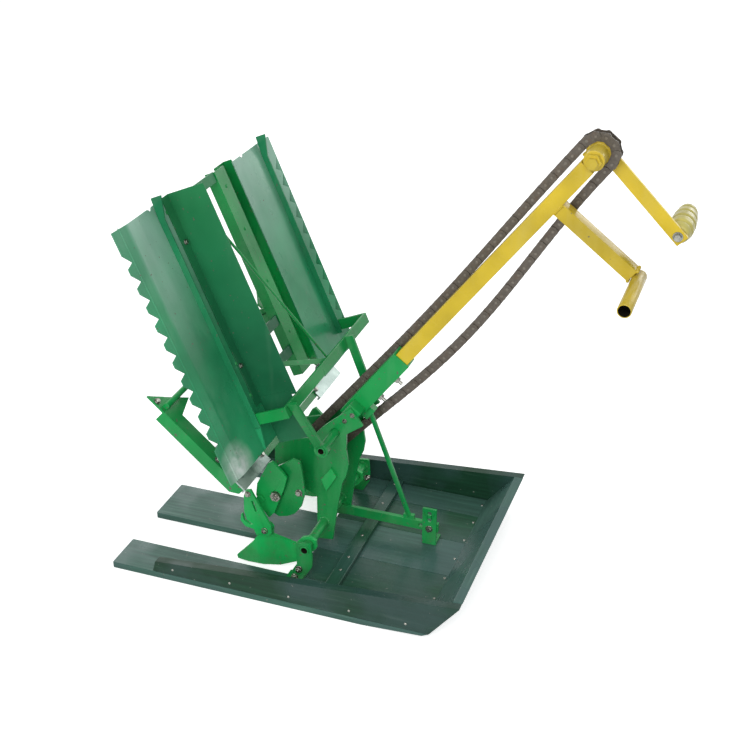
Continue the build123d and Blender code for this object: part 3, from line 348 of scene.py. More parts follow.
class Shader:
    """Small helper that lays out one node material."""

    def __init__(self, name):
        self.mat = bpy.data.materials.new(name)
        self.mat.use_nodes = True
        self.tree = self.mat.node_tree
        self.out = self.tree.nodes["Principled BSDF"]
        self.coords = self.tree.nodes.new("ShaderNodeTexCoord").outputs["Object"]

    def link(self, source, target):
        self.tree.links.new(source, target)

    def node(self, kind, **values):
        made = self.tree.nodes.new(kind)
        for key, value in values.items():
            setattr(made, key, value)
        return made

    def mapped(self, scale, place=(0.0, 0.0, 0.0)):
        """Object coordinates from a place, stretched."""
        mapping = self.node("ShaderNodeMapping")
        mapping.inputs["Scale"].default_value = scale
        mapping.inputs["Location"].default_value = [-a * b for a, b in zip(place, scale)]
        self.link(self.coords, mapping.inputs["Vector"])
        return mapping.outputs["Vector"]

    def noise(self, scale, detail=4.0, stretch=(1.0, 1.0, 1.0), rough=0.55):
        """Noise value between 0 and 1, on stretched object coordinates."""
        tex = self.node("ShaderNodeTexNoise")
        tex.inputs["Scale"].default_value = scale
        tex.inputs["Detail"].default_value = detail
        tex.inputs["Roughness"].default_value = rough
        self.link(self.mapped(stretch), tex.inputs["Vector"])
        return tex.outputs["Fac"]

    def span(self, value, low, high, to_low=0.0, to_high=1.0):
        """Maps a value from low..high to to_low..to_high, held at both ends."""
        made = self.node("ShaderNodeMapRange", clamp=True)
        for key, number in (("From Min", low), ("From Max", high), ("To Min", to_low), ("To Max", to_high)):
            made.inputs[key].default_value = number
        self.link(value, made.inputs["Value"])
        return made.outputs["Result"]

    def axis(self, key):
        """One of the object's own coordinates."""
        split = self.node("ShaderNodeSeparateXYZ")
        self.link(self.coords, split.inputs["Vector"])
        return split.outputs[key]

    def height(self, full, none):
        """1 up to the first height and 0 from the second, by the object's own Z; either may be the higher."""
        return self.span(self.axis("Z"), full, none, 1.0, 0.0)

    def away(self, place, scale=(1.0, 1.0, 1.0)):
        """Distance from a point; a scale of 0 on one axis gives the distance from a line along it."""
        size = self.node("ShaderNodeVectorMath", operation="LENGTH")
        self.link(self.mapped(scale, place), size.inputs[0])
        return size.outputs["Value"]

    def times(self, a, b):
        made = self.node("ShaderNodeMath", operation="MULTIPLY")
        self.link(a, made.inputs[0])
        self.link(b, made.inputs[1])
        return made.outputs[0]

    def mix(self, factor, a, b):
        """Colour a where the factor is 0 and b where it is 1; each a colour or a socket."""
        made = self.node("ShaderNodeMix", data_type="RGBA")
        self.link(factor, made.inputs["Factor"])
        # 6 and 7 are the node's two colour inputs, and 2 is its colour result
        for key, value in ((6, a), (7, b)):
            if isinstance(value, bpy.types.NodeSocket):
                self.link(value, made.inputs[key])
            else:
                made.inputs[key].default_value = (*value, 1.0)
        return made.outputs[2]

    def bump(self, value, strength, distance, before=None):
        made = self.node("ShaderNodeBump")
        made.inputs["Strength"].default_value = strength
        made.inputs["Distance"].default_value = distance
        self.link(value, made.inputs["Height"])
        if before is not None:
            self.link(before, made.inputs["Normal"])
        return made.outputs["Normal"]

    def done(self, color, roughness, normal=None, **constants):
        """Joins the results to the surface; constants go straight onto its sockets."""
        self.link(color, self.out.inputs["Base Color"])
        self.link(roughness, self.out.inputs["Roughness"])
        if normal is not None:
            self.link(normal, self.out.inputs["Normal"])
        for key, value in constants.items():
            self.out.inputs[key.replace("_", " ")].default_value = value
        return self.mat


def shade(color, factor):
    """The colour made darker or lighter by a factor."""
    return tuple(min(1.0, c * factor) for c in color)


def toward(color, other, share):
    """The colour moved a share of the way to another."""
    return tuple(a + (b - a) * share for a, b in zip(color, other))


MUD = srgb(92, 86, 70)
PRIMER = srgb(96, 92, 84)


def enamel(
    name, color, wear=0.5, dents=0.0, gloss=0.28, streak=(1.0, 1.0, 0.18), coat=0.06, painted_sheen_and_zinc_bloom=None, pale_patch=None, shaded_bore=None
):
    """Sprayed paint: slow tone drift, thin runs, dust near the ground, small chips and orange peel."""
    sh = Shader(name)
    drift = sh.span(sh.noise(7.0, 3.0), 0.32, 0.68)
    tone = sh.mix(drift, shade(color, 0.72), shade(color, 1.22))
    runs = sh.span(sh.noise(26.0, 3.0, streak), 0.52, 0.75, 0.0, 0.42)
    tone = sh.mix(runs, tone, toward(color, (0.50, 0.68, 0.55), 0.18))
    dust = sh.times(sh.height(0.02, 0.16), sh.span(sh.noise(38.0, 5.0), 0.42, 0.72, 0.0, 0.45))
    tone = sh.mix(dust, tone, toward(MUD, color, 0.35))
    if painted_sheen_and_zinc_bloom:
        # Painted sheen: paler where the sheets stand highest, broken into streaks, less on the near toothed edge
        share, sheen_color = painted_sheen_and_zinc_bloom
        sheen_streaks = sh.span(sh.noise(15.0, 5.0, (1.0, 1.0, 0.35)), 0.28, 0.72, 0.55, 1.0)
        sheen_mask = sh.times(sh.height(0.70, 0.44), sheen_streaks)
        sheen_mask = sh.times(sheen_mask, sh.span(sh.axis("Y"), -0.236, -0.228, 0.35, 1.0))
        tone = sh.mix(sh.span(sheen_mask, 0.0, 1.0, 0.0, share), tone, sheen_color)
    if pale_patch is not None:
        # Pale patch round one place, broken up by noise
        patchy = sh.span(sh.noise(55.0, 4.0), 0.3, 0.6, 0.35, 1.0)
        tone = sh.mix(sh.times(sh.span(sh.away(pale_patch), 0.008, 0.046, 1.0, 0.0), patchy), tone, srgb(196, 208, 202))
    if shaded_bore:
        # Painted shade: dark inside the tube, nearer to its axis than the given inner radius
        node, radius = shaded_bore
        low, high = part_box(node)
        out = sh.away([(a + b) / 2 for a, b in zip(low, high)], (1.0, 0.0, 1.0))
        tone = sh.mix(sh.span(out, (radius + 0.2) * MM, (radius + 0.6) * MM, 1.0, 0.0), tone, srgb(30, 27, 22))
    chip = sh.span(sh.noise(150.0, 2.0), 0.715 - 0.05 * wear, 0.735 - 0.05 * wear, 0.0, 0.85)
    tone = sh.mix(chip, tone, PRIMER)
    rough = sh.span(sh.noise(18.0, 4.0), 0.3, 0.7, gloss * 0.75, gloss * 1.5)
    normal = sh.bump(sh.noise(420.0, 2.0), 0.08, 0.0006)
    if dents:
        normal = sh.bump(sh.noise(9.0, 2.0), dents, 0.010, normal)
    return sh.done(
        tone, rough, normal, Metallic=0.0, Coat_Weight=coat, Coat_Roughness=0.12, Specular_IOR_Level=0.22,
    )


def painted_boards(name, color, along):
    """Painted wood: long grain, worn lighter ridges, wet darker patches tinted bluish as painted reflection, and
    scuffs.
    """
    sh = Shader(name)
    stretch = (0.05, 1.0, 1.0) if along == "X" else (1.0, 0.05, 1.0)
    grain = sh.noise(150.0, 6.0, stretch, rough=0.65)
    tone = sh.mix(sh.span(grain, 0.3, 0.72), shade(color, 0.62), shade(color, 1.18))
    wear = sh.times(sh.span(grain, 0.56, 0.78), sh.span(sh.noise(11.0, 4.0), 0.44, 0.70))
    tone = sh.mix(wear, tone, toward(color, srgb(150, 160, 152), 0.42))
    wet = sh.span(sh.noise(6.5, 3.0), 0.44, 0.60)
    # Wet patches: darker wood, tinted bluish as a painted reflection
    wet_dark_and_sky_sheen = toward(shade(color, 0.8), srgb(78, 104, 108), 0.45)
    tone = sh.mix(sh.times(wet, sh.span(grain, 0.0, 1.0, 0.5, 0.9)), tone, wet_dark_and_sky_sheen)
    scuff = sh.span(sh.noise(95.0, 3.0), 0.70, 0.74, 0.0, 0.6)
    tone = sh.mix(scuff, tone, srgb(140, 142, 134))
    rough = sh.span(wet, 0.0, 1.0, 0.50, 0.20)
    normal = sh.bump(grain, 0.35, 0.0012)
    return sh.done(tone, rough, normal, Metallic=0.0, Coat_Weight=0.06, Coat_Roughness=0.2, Specular_IOR_Level=0.2)


def bare_metal(name, color, rough_low, rough_high, metallic, spots):
    """Metal: brushed noise in the colour and the roughness, with spots of tarnish."""
    sh = Shader(name)
    brushed = sh.noise(260.0, 4.0, (1.0, 0.15, 1.0))
    tone = sh.mix(sh.span(brushed, 0.3, 0.7), shade(color, 0.7), shade(color, 1.15))
    tarnish = sh.span(sh.noise(120.0, 4.0), 0.56, 0.70, 0.0, spots)
    tone = sh.mix(tarnish, tone, srgb(84, 66, 50))
    rough = sh.span(sh.noise(70.0, 3.0), 0.3, 0.7, rough_low, rough_high)
    normal = sh.bump(brushed, 0.10, 0.0004)
    return sh.done(tone, rough, normal, Metallic=metallic)


def galvanised(name, color):
    """Hot-dipped sheet: pale and dark crystals of zinc, pale cloudy patches and a dull sheen."""
    sh = Shader(name)
    cells = sh.node("ShaderNodeTexVoronoi")
    cells.inputs["Scale"].default_value = 90.0
    sh.link(sh.coords, cells.inputs["Vector"])
    grey = sh.node("ShaderNodeRGBToBW")
    sh.link(cells.outputs["Color"], grey.inputs["Color"])
    tone = sh.mix(sh.span(grey.outputs["Val"], 0.2, 0.8), shade(color, 0.72), shade(color, 1.1))
    painted_sheen_and_zinc_bloom = sh.span(sh.noise(24.0, 4.0), 0.42, 0.66, 0.0, 0.7)
    tone = sh.mix(painted_sheen_and_zinc_bloom, tone, srgb(176, 190, 184))
    rough = sh.span(grey.outputs["Val"], 0.2, 0.8, 0.28, 0.46)
    normal = sh.bump(sh.noise(160.0, 3.0), 0.06, 0.0005)
    return sh.done(tone, rough, normal, Metallic=0.75)


def turned_plastic(name, color):
    """Moulded plastic: faint cloud, rings of dirt round the axis and a soft gloss."""
    sh = Shader(name)
    cloud = sh.span(sh.noise(22.0, 3.0), 0.35, 0.65)
    tone = sh.mix(cloud, shade(color, 0.86), shade(color, 1.08))
    rings = sh.span(sh.noise(60.0, 2.0, (0.15, 3.0, 0.15)), 0.56, 0.70, 0.0, 0.35)
    tone = sh.mix(rings, tone, toward(color, srgb(120, 104, 60), 0.5))
    rough = sh.span(sh.noise(40.0, 3.0), 0.3, 0.7, 0.22, 0.38)
    normal = sh.bump(sh.noise(300.0, 2.0), 0.05, 0.0005)
    return sh.done(tone, rough, normal, Metallic=0.0, Coat_Weight=0.12, Coat_Roughness=0.15, Specular_IOR_Level=0.3)


def finish(key):
    """The finish of that name, made once from the scene's settings."""
    if key in bpy.data.materials:
        return bpy.data.materials[key]
    colors = bpy.context.scene.planter_finish
    green, tray, yellow = tuple(colors.green), tuple(colors.tray_green), tuple(colors.yellow)
    board = tuple(colors.board_green)
    # Pale blue-grey for the boards' painted reflection
    painted_sky_sheen = srgb(126, 158, 160)
    glossy = {"wear": -0.7, "gloss": 0.26, "coat": 0.12}
    makers = {
        "green_enamel": lambda: enamel(key, green, 0.6),
        # A lighter copy of the green enamel: painted light on the rockers, planters, crank plates and lug
        "row_enamel": lambda: enamel(key, shade(green, 1.5), 0.4),
        # These finishes darken the tubes' insides with painted shade
        "cross_bore": lambda: enamel(key, green, 0.6, shaded_bore=("cross_tube", 5.5)),
        "guide_bore": lambda: enamel(key, green, 0.6, shaded_bore=("guide_tube", 5.0)),
        "yellow_enamel": lambda: enamel(key, yellow, **glossy),
        "handle_bore": lambda: enamel(key, yellow, shaded_bore=("handle_tube", 9.0), **glossy),
        # Tray paint with a painted sheen, paler towards the top of the sheets
        "tray_enamel": lambda: enamel(
            key, tray, wear=0.1, dents=0.16, gloss=0.30, streak=(1.0, 1.0, 0.10), coat=0.2,
            painted_sheen_and_zinc_bloom=(0.70, srgb(180, 216, 202)), pale_patch=tray_at(TRAY_C, -230.0, 278.0) * MM,
        ),
        # A darker copy of the tray paint: painted shade on the rib
        "rib_enamel": lambda: enamel(key, shade(tray, 0.8), 0.1),
        # A darker copy of the tray paint as painted shade, with a painted sheen lighter towards the top
        "wall_enamel": lambda: enamel(
            key, shade(tray, 0.50), wear=0.1, dents=0.10, gloss=0.40, coat=0.04, painted_sheen_and_zinc_bloom=(0.75, srgb(44, 138, 82)),
        ),
        "boards_long": lambda: painted_boards(key, board, "X"),
        "boards_cross": lambda: painted_boards(key, board, "Y"),
        # A darker copy of the board paint: painted shade on the side boards
        "boards_side": lambda: painted_boards(key, shade(board, 0.55), "X"),
        # The tail and front boards are paler and bluer as a painted reflection
        "boards_tail": lambda: painted_boards(key, toward(board, painted_sky_sheen, 0.22), "X"),
        "boards_front": lambda: painted_boards(key, toward(board, painted_sky_sheen, 0.24), "Y"),
        "turned_grip": lambda: turned_plastic(key, tuple(colors.grip)),
        "oiled_steel": lambda: bare_metal(key, tuple(colors.chain), 0.28, 0.55, 0.2, 0.55),
        "pin_steel": lambda: bare_metal(key, srgb(112, 106, 97), 0.26, 0.46, 0.5, 0.3),
        "zinc_plate": lambda: bare_metal(key, tuple(colors.zinc), 0.18, 0.38, 1.0, 0.4),
        "gate_zinc": lambda: galvanised(key, srgb(150, 166, 160)),
    }
    return makers[key]()


# Columns: start of the nodes' names, finish, kind of edge; the first row that fits is taken
NODE_FINISHES = (
    # Front and tail boards get painted reflection, side boards painted shade
    ("sled_front", "boards_front", "board_edge"),
    ("sled_batten", "boards_cross", "board_edge"),
    ("sled_side", "boards_side", "board_edge"),
    ("sled_tail", "boards_tail", "board_edge"),
    ("sled_", "boards_long", "board_edge"),
    ("tray_ribs", "rib_enamel", "sheet_edge"),
    ("tray_", "tray_enamel", "sheet_edge"),
    # Darker paint as painted shade on the near divider and the straps
    (("divider_near", "carriage_straps"), "wall_enamel", "sheet_edge"),
    ("divider_", "green_enamel", "sheet_edge"),
    # Lighter green as painted light on these parts
    (("rocker_", "planter_", "crank_plates", "post_lug"), "row_enamel", "plate_edge"),
    ("gates", "gate_zinc", "sheet_edge"),
    ("handle_tube", "handle_bore", "plate_edge"),
    ("cross_tube", "cross_bore", "plate_edge"),
    ("guide_tube", "guide_bore", "plate_edge"),
    (("handle_", "bearing_tube", "crank_arm", "crank_shaft"), "yellow_enamel", "plate_edge"),
    ("upper_sprocket", "yellow_enamel", "sheet_edge"),
    ("drive_shaft", "zinc_plate", "sheet_edge"),
    ("lower_sprocket", "oiled_steel", "sheet_edge"),
    ("", "green_enamel", "plate_edge"),
)


class TRANSPLANTER_OT_finish_solids(bpy.types.Operator):
    """Paint every solid of the frame and soften its cut edges"""

    bl_idname = "transplanter.finish_solids"
    bl_label = "Finish solids"

    def execute(self, context):
        sizes = context.scene.planter_hardware
        for name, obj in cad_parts.items():
            key, edge = next((f, e) for start, f, e in NODE_FINISHES if name.startswith(start))
            obj.data.materials.clear()
            obj.data.materials.append(finish(key))
            weld = obj.modifiers.new("weld", "WELD")
            weld.merge_threshold = 0.01 * MM
            bevel = obj.modifiers.new("edges", "BEVEL")
            bevel.width = getattr(sizes, edge)
            bevel.segments = 2
            bevel.limit_method = "ANGLE"
            bevel.angle_limit = math.radians(40)
            bevel.use_clamp_overlap = True
        return {"FINISHED"}


class TRANSPLANTER_OT_trays(bpy.types.Operator):
    """Bend the two tray sheets, with saw teeth, a turned-back edge and the waves of thin metal"""

    bl_idname = "transplanter.trays"
    bl_label = "Tray sheets"

    def closed_sheet(self, top, under):
        """Sheet between two grids of points: both faces, and quads round the rim."""
        rows, columns = top.shape[:2]
        quads = grid_quads(rows, columns, False)
        total = rows * columns
        index = np.arange(total).reshape(rows, columns)
        rim = np.concatenate([index[0, :-1], index[:-1, -1], index[-1, :0:-1], index[:0:-1, 0]])
        after = np.roll(rim, -1)
        edge = np.stack([rim, rim + total, after + total, after], -1)
        points = np.concatenate([top.reshape(-1, 3), under.reshape(-1, 3)])
        return points, [quads, quads[:, ::-1] + total, edge]

    def teeth(self, s, top, depth, root, end):
        """Depth of the notch at each s: rises over the first share of a pitch, then falls to the end share."""
        place = (top - FIRST_TOOTH - s) / TOOTH_PITCH
        within = (place >= 0) & (place < TOOTH_COUNT)
        u = place % 1.0
        rise = np.where(u < root, u / root, np.clip((end - u) / max(end - root, 1e-6), 0, 1))
        return np.where(within, depth * rise, 0.0)

    def execute(self, context):
        wave = context.scene.planter_hardware.tray_wave / MM
        reach = 2.5
        # Columns: node, side, inner edge, fold, flange's rise, top, notch depth, root and end,
        # then the turned-back edge: its inset, and its reach in Y and c
        trays = (
            ("tray_near", -1, 100.0, TRAY_HALF_W - 34, -8.0, TRAY_TOP, 13.0, 0.50, 0.68, (14.5, -9.0, -8.6)),
            ("tray_far", 1, 122.0, TRAY_HALF_W - 37, 5.0, TRAY_TOP - 18, 16.0, 0.62, 0.97, (0.0, 0.0, -14.0)),
        )
        for name, side, inner, fold, rise, top, depth, root, end, back in trays:
            marks = [top - FIRST_TOOTH - TOOTH_PITCH * (k + u) for k in range(TOOTH_COUNT) for u in (0.0, root, end)]
            s = np.unique(np.concatenate([np.linspace(TRAY_LOW, top, 150), marks]))
            bend_y = fold + np.array([-reach, -1.0, 0.0, 1.0, reach])
            floor_y = np.concatenate([np.linspace(inner, fold - 4.0, 40), bend_y])
            share = np.linspace(0.12, 1.0, 9)
            outer = TRAY_HALF_W - self.teeth(s, top, depth, root, end)
            flange_y = fold + share[None] * (outer[:, None] - fold)
            y = np.concatenate([np.broadcast_to(floor_y, (len(s), len(floor_y))), flange_y], axis=1)
            # Height: flat floor, a round bend (y + reach)^2 / (4 reach) over the reach, then the straight flange
            past = np.clip(y - fold, -reach, reach)
            bend = np.where(np.abs(y - fold) < reach, (past + reach) ** 2 / (4 * reach), np.clip(y - fold, 0.0, None))
            c = TRAY_C + rise / (TRAY_HALF_W - fold) * bend
            grid_s = np.broadcast_to(s[:, None], y.shape)
            flat = np.clip((fold - y) / 30.0, 0, 1) * np.clip((y - inner) / 10.0, 0, 1)
            c = c + wave * flat * np.sin(y / 21.0 + s[:, None] / 95.0) * np.sin(s[:, None] / 62.0 + side)
            # Small notch in the top edge
            dip = np.clip(7.0 - np.abs(y - TRAY_NOTCH_Y) * 7.0 / 6.0, 0, None)
            grid_s = grid_s - dip * np.clip((grid_s - (top - 30.0)) / 30.0, 0, 1)
            batch = Batch()
            face = tray_at(c[..., None], side * y[..., None], grid_s[..., None])
            batch.add(*self.closed_sheet(face, face - N_DIR * TRAY_T))
            u = np.linspace(0, 1, 4)[None, :, None]
            strip_y = TRAY_HALF_W - back[0] + back[1] * u
            strip_c = TRAY_C + rise * (1 - back[0] / (TRAY_HALF_W - fold)) + back[2] * u
            strip = tray_at(strip_c, side * strip_y, s[:, None, None])
            lean = np.array([0.0, side * back[2], 0.0]) - N_DIR * back[1]
            batch.add(*self.closed_sheet(strip, strip + TRAY_T * 0.8 * lean / np.linalg.norm(lean)))
            if side < 0:
                # The rib runs out to the sheet's end, sinking from 11 mm to 3 mm
                run_out, rib_y, rib_t = 41.0, -151.5, 3.0
                past = np.linspace(2.0, run_out, 20)[:, None, None]
                rib_c = TRAY_C + np.linspace(0, 1, 6)[None, :, None] * (3 + 8 * past / run_out)
                face = tray_at(rib_c, rib_y, TRAY_LOW + past)
                batch.add(*self.closed_sheet(face, face + Y_AXIS * rib_t))
            made = batch.build(f"{name}_sheet", finish("tray_enamel"), "carriage", 40.0)
            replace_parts(made, name)
        # Apron below the near divider, behind the U-bar
        batch = Batch()
        c, s = np.meshgrid(np.linspace(TRAY_C, 127.0, 14), np.linspace(TRAY_LOW - 14.0, 337.0, 24))
        face = tray_at(c[..., None], -102.6, s[..., None])
        batch.add(*self.closed_sheet(face, face + Y_AXIS * TRAY_T))
        batch.build("divider_apron", finish("wall_enamel"), "carriage")
        return {"FINISHED"}


def chain_loop(count, sizes):
    """Loop of two bowed spans and two half circles, resampled to equal steps of its own length."""
    radius = sizes.pitch_radius / MM
    u = np.linspace(0, 1, 400)
    bow = np.sin(math.pi * u) ** 2
    a = np.linspace(0, math.pi, 120)[1:-1]
    up = DRIVE + np.outer(u * BEAM_LEN, U_DIR) + np.outer(radius + sizes.sag / MM * bow, P_DIR)
    over = HEAD + radius * (np.outer(np.cos(a), P_DIR) + np.outer(np.sin(a), U_DIR))
    down = HEAD - np.outer(u * BEAM_LEN, U_DIR) - np.outer(radius - sizes.droop / MM * bow, P_DIR)
    under = DRIVE - radius * (np.outer(np.cos(a), P_DIR) + np.outer(np.sin(a), U_DIR))
    path = np.concatenate([up, over, down, under])
    closed = np.concatenate([path, path[:1]])
    length = np.concatenate([[0], np.cumsum(np.hypot(*np.diff(closed, axis=0).T))])
    marks = np.arange(count) * length[-1] / count
    return np.stack([np.interp(marks, length, closed[:, k]) for k in range(2)], -1), length[-1]


def chain_pins(sizes):
    """Pins of the whole chain: an even number of links, each as near to the pitch as the loop allows."""
    length = chain_loop(2, sizes)[1]
    count = 2 * round(length / (sizes.pitch / MM) / 2)
    return chain_loop(count, sizes)[0]


class TRANSPLANTER_OT_chain(bpy.types.Operator):
    """Lay a roller chain of plates, rollers and pins along the chain's loop"""

    bl_idname = "transplanter.chain"
    bl_label = "Roller chain"

    def execute(self, context):
        sizes = context.scene.planter_chain
        pins = chain_pins(sizes)
        count = len(pins)
        middle_y = sizes.centre_y / MM
        batch = Batch()
        turn = np.linspace(0, 2 * math.pi, 16, endpoint=False)
        nxt = np.roll(pins, -1, axis=0)
        step = nxt - pins
        span = np.hypot(*step.T)[:, None]
        ahead = step / span
        aside = np.stack([ahead[:, 1], -ahead[:, 0]], -1)
        # Plate outline: two round ends, a length past a pin and a width to each side, drawn in a little between
        past_pin, half_width = 7.6, 8.4
        end = np.where(np.cos(turn) >= 0, 1.0, -1.0)
        reach = past_pin * np.cos(turn)
        waist = half_width * np.sin(turn) * (0.84 + 0.16 * np.clip(np.abs(np.cos(turn)) * 1.8, 0, 1))
        # Columns: first link, inner and outer face of its plates from the chain's middle
        for parity, inside, outside in ((0, 4.6, 6.2), (1, 6.4, 8.0)):
            which = np.arange(parity, count, 2)
            mid = (pins[which] + nxt[which]) / 2
            along = span[which] / 2 * end[None] + reach[None]
            flat = (
                mid[:, None]
                + along[..., None] * ahead[which][:, None]
                + waist[None, :, None] * aside[which][:, None]
            )
            for low, high in ((-outside, -inside), (inside, outside)):
                batch.add(*prisms(flat, middle_y + low, middle_y + high))
        # Rollers between the inner plates, and pins across all plates. Columns: batch, radius, half width, sides
        heads = Batch()
        for target, radius, half_w, sides in ((batch, 5.0, 4.5, 14), (heads, 2.3, 8.7, 10)):
            t = np.arange(sides) * 2 * math.pi / sides
            flat = pins[:, None] + radius * np.stack([np.cos(t), np.sin(t)], -1)
            target.add(*prisms(flat, middle_y - half_w, middle_y + half_w))
        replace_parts(heads.build("chain_pins", finish("pin_steel"), "frame"), "chain")
        made = batch.build("roller_chain", finish("oiled_steel"), "frame")
        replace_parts(made, "chain")
        return {"FINISHED"}


class TRANSPLANTER_OT_sprockets(bpy.types.Operator):
    """Cut the two sprockets with a tooth between each pair of rollers"""

    bl_idname = "transplanter.sprockets"
    bl_label = "Sprockets"

    def execute(self, context):
        sizes = context.scene.planter_chain
        pins = chain_pins(sizes)
        pitch_r = sizes.pitch_radius / MM
        middle_y = sizes.centre_y / MM
        hub_r, root_drop, tooth_rise = 15.0, 5.3, 6.0
        # Columns: node, centre, body, finish
        rows = (
            ("upper_sprocket", HEAD, "crank", "yellow_enamel"),
            ("lower_sprocket", DRIVE, "drive", "oiled_steel"),
        )
        for name, centre, body, paint in rows:
            arm = pins - centre
            held = arm[np.abs(np.hypot(*arm.T) - pitch_r) < 0.4]
            phase = np.angle(np.mean(np.exp(1j * SPROCKET_TEETH * np.arctan2(held[:, 1], held[:, 0]))))
            # Outline: r = root under a roller, rising to the tip half a tooth on, as ((1 - cos a) / 2) to the 1.6
            turn = np.linspace(0, 2 * math.pi, 160, endpoint=False)
            rise = ((1 - np.cos(SPROCKET_TEETH * turn - phase)) / 2) ** 1.6
            outer = pitch_r - root_drop + tooth_rise * rise
            inner = np.full_like(outer, hub_r - 3.0)
            radii = np.stack([inner, outer * 0.86, outer, outer, outer * 0.86, inner])
            y = middle_y + np.array([-3.6, -3.6, -2.4, 2.4, 3.6, 3.6])[:, None]
            points = np.stack([
                centre[0] + radii * np.cos(turn), np.broadcast_to(y, radii.shape), centre[1] + radii * np.sin(turn)
            ], -1)
            batch = Batch()
            batch.add(points.reshape(-1, 3), [grid_quads(6, len(turn), True)])
            base = np.array([centre[0], middle_y, centre[1]])
            batch.add(*lathe([(-5.5, hub_r - 1), (-5.0, hub_r), (5.0, hub_r), (5.5, hub_r - 1)], base, Y_AXIS, 36))
            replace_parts(batch.build(f"{name}_wheel", finish(paint), body), name)
        return {"FINISHED"}


class TRANSPLANTER_OT_grip(bpy.types.Operator):
    """Turn the crank's grip with its grooves, and fit its bolt"""

    bl_idname = "transplanter.grip"
    bl_label = "Crank grip"

    def execute(self, context):
        low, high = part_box("crank_grip")
        centre = np.array([(low[0] + high[0]) / 2, 0.0, (low[2] + high[2]) / 2]) / MM
        radius = (high[0] - low[0]) / 2 / MM
        arm_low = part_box("crank_arm")[0][1] / MM
        arm_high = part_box("crank_arm")[1][1] / MM
        length = high[1] / MM - arm_high
        # Barrel: R (0.62 + 0.40 sin(pi u^0.72)^0.75), less four turned grooves, each a narrow bell curve,
        # and closed by a quarter ellipse over the last 0.12 of its length
        longer, fuller, groove_depth, groove_width = 1.12, 1.08, 0.15, 0.022
        reach = length * longer
        u = np.linspace(0, 1, 140)
        body = 0.62 + 0.40 * np.sin(math.pi * u ** 0.72) ** 0.75
        groove = np.zeros_like(u)
        for place in (0.14, 0.33, 0.54, 0.76):
            groove += np.exp(-(((u - place) / groove_width) ** 2))
        end = np.sqrt(np.clip(1 - ((u - 0.88) / 0.12).clip(0, 1) ** 2, 0.02, 1))
        radii = radius * fuller * np.clip(body - groove_depth * groove, 0.1, 1.05) * end
        profile = np.stack([3.0 + u * (reach - 3.0), radii], -1)
        base = centre + Y_AXIS * arm_high
        batch = Batch()
        batch.add(*lathe(profile, base, Y_AXIS, 40))
        made = batch.build("grip_barrel", finish("turned_grip"), "crank", 50.0)
        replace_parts(made, "crank_grip")
        batch = Batch()
        batch.add_all(hex_bolt(centre + Y_AXIS * arm_low, -Y_AXIS, 6.5))
        batch.add(*lathe([(0, 4.9), (arm_high - arm_low, 4.9)], centre + Y_AXIS * arm_low, Y_AXIS, 20))
        bolt = batch.build("grip_bolt", finish("zinc_plate"), "crank")
        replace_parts(bolt, "crank_grip")
        return {"FINISHED"}


class TRANSPLANTER_OT_bolts(bpy.types.Operator):
    """Fit bolts and rivets to each moving body"""

    bl_idname = "transplanter.bolts"
    bl_label = "Bolts and rivets"

    def execute(self, context):
        size = context.scene.planter_hardware.bolt_across / MM
        # Columns: body, place in mm, direction of the head, size against an ordinary bolt, stub of thread
        bolts = [
            ("frame", beam_at(SOCKET_FOOT - 68, 16.5, 0), BEAM_FRONT, 1.1, 7.0),
            ("frame", beam_at(SOCKET_FOOT - 116, 16.5, 0), BEAM_FRONT, 1.1, 7.0),
            ("frame", (193.0, 26.5, 46.0), -Y_AXIS, 1.0, 0.0),
            ("frame", (193.0, 48.0, 17.0), Z_AXIS, 1.0, 0.0),
            ("frame", (60.0, -44.5, 284.0), -Y_AXIS, 0.65, 2.0),
            ("frame", (74.0, -44.5, 298.0), -Y_AXIS, 0.65, 2.0),
            ("frame", (8.0, -139.0, 26.0), -Y_AXIS, 1.0, 3.0),
            ("frame", (4.5, -153.0, 17.0), Z_AXIS, 1.0, 3.0),
            ("frame", (4.5, 172.0, 17.0), Z_AXIS, 1.1, 5.0),
            ("frame", (29.0, 151.5, 44.0), -Y_AXIS, 0.9, 5.0),
            ("carriage", tray_at(68.0, -112.0, 628.0), N_DIR, 0.7, 0.0),
            ("carriage", tray_at(68.0, -116.0, 404.0), N_DIR, 0.7, 0.0),
            ("carriage", (42.0, 130.0, 257.0), Y_AXIS, 0.95, 0.0),
        ]
        for side in (-1, 1):
            bolts += [
                ("frame", (-9.0, side * 90.0, 151.0), side * Y_AXIS, 1.0, 0.0),
                ("frame", rail_at(13, 0, side * 209.0), Q_DIR, 0.8, 0.0),
                ("frame", rail_at(150, 0, side * 207.0), Q_DIR, 0.8, 0.0),
                ("frame", rail_at(201, 3, side * 121.0), Q_DIR, 0.7, 0.0),
                ("planter", (KNEE[0] - 29, side * 128.0, KNEE[1] + 70), side * Y_AXIS, 0.85, 0.0),
                ("rocker", (KNEE[0], side * 128.4, KNEE[1]), side * Y_AXIS, 0.9, 2.0),
                ("drive", (DRIVE[0], side * 107.0, DRIVE[1]), side * Y_AXIS, 0.95, 3.0),
            ]
        for body in sorted({row[0] for row in bolts}):
            batch = Batch()
            for owner, place, axis, share, stub in bolts:
                if owner == body:
                    batch.add_all(hex_bolt(place, axis, size * share, stub))
            batch.build(f"bolts_{body}", finish("zinc_plate"), body)
        rivets = Batch()
        for s in (684.0, 412.0, 352.0):
            for y in (-110.0, -122.0):
                rivets.add(*dome_rivet(tray_at(TRAY_C, y, s), N_DIR, 3.4))
        for s in (380.0, 480.0, 580.0, 660.0):
            rivets.add(*dome_rivet(tray_at(TRAY_C, 72.0, s), N_DIR, 3.2))
        rivets.build("rivets_carriage", finish("green_enamel"), "carriage")
        return {"FINISHED"}


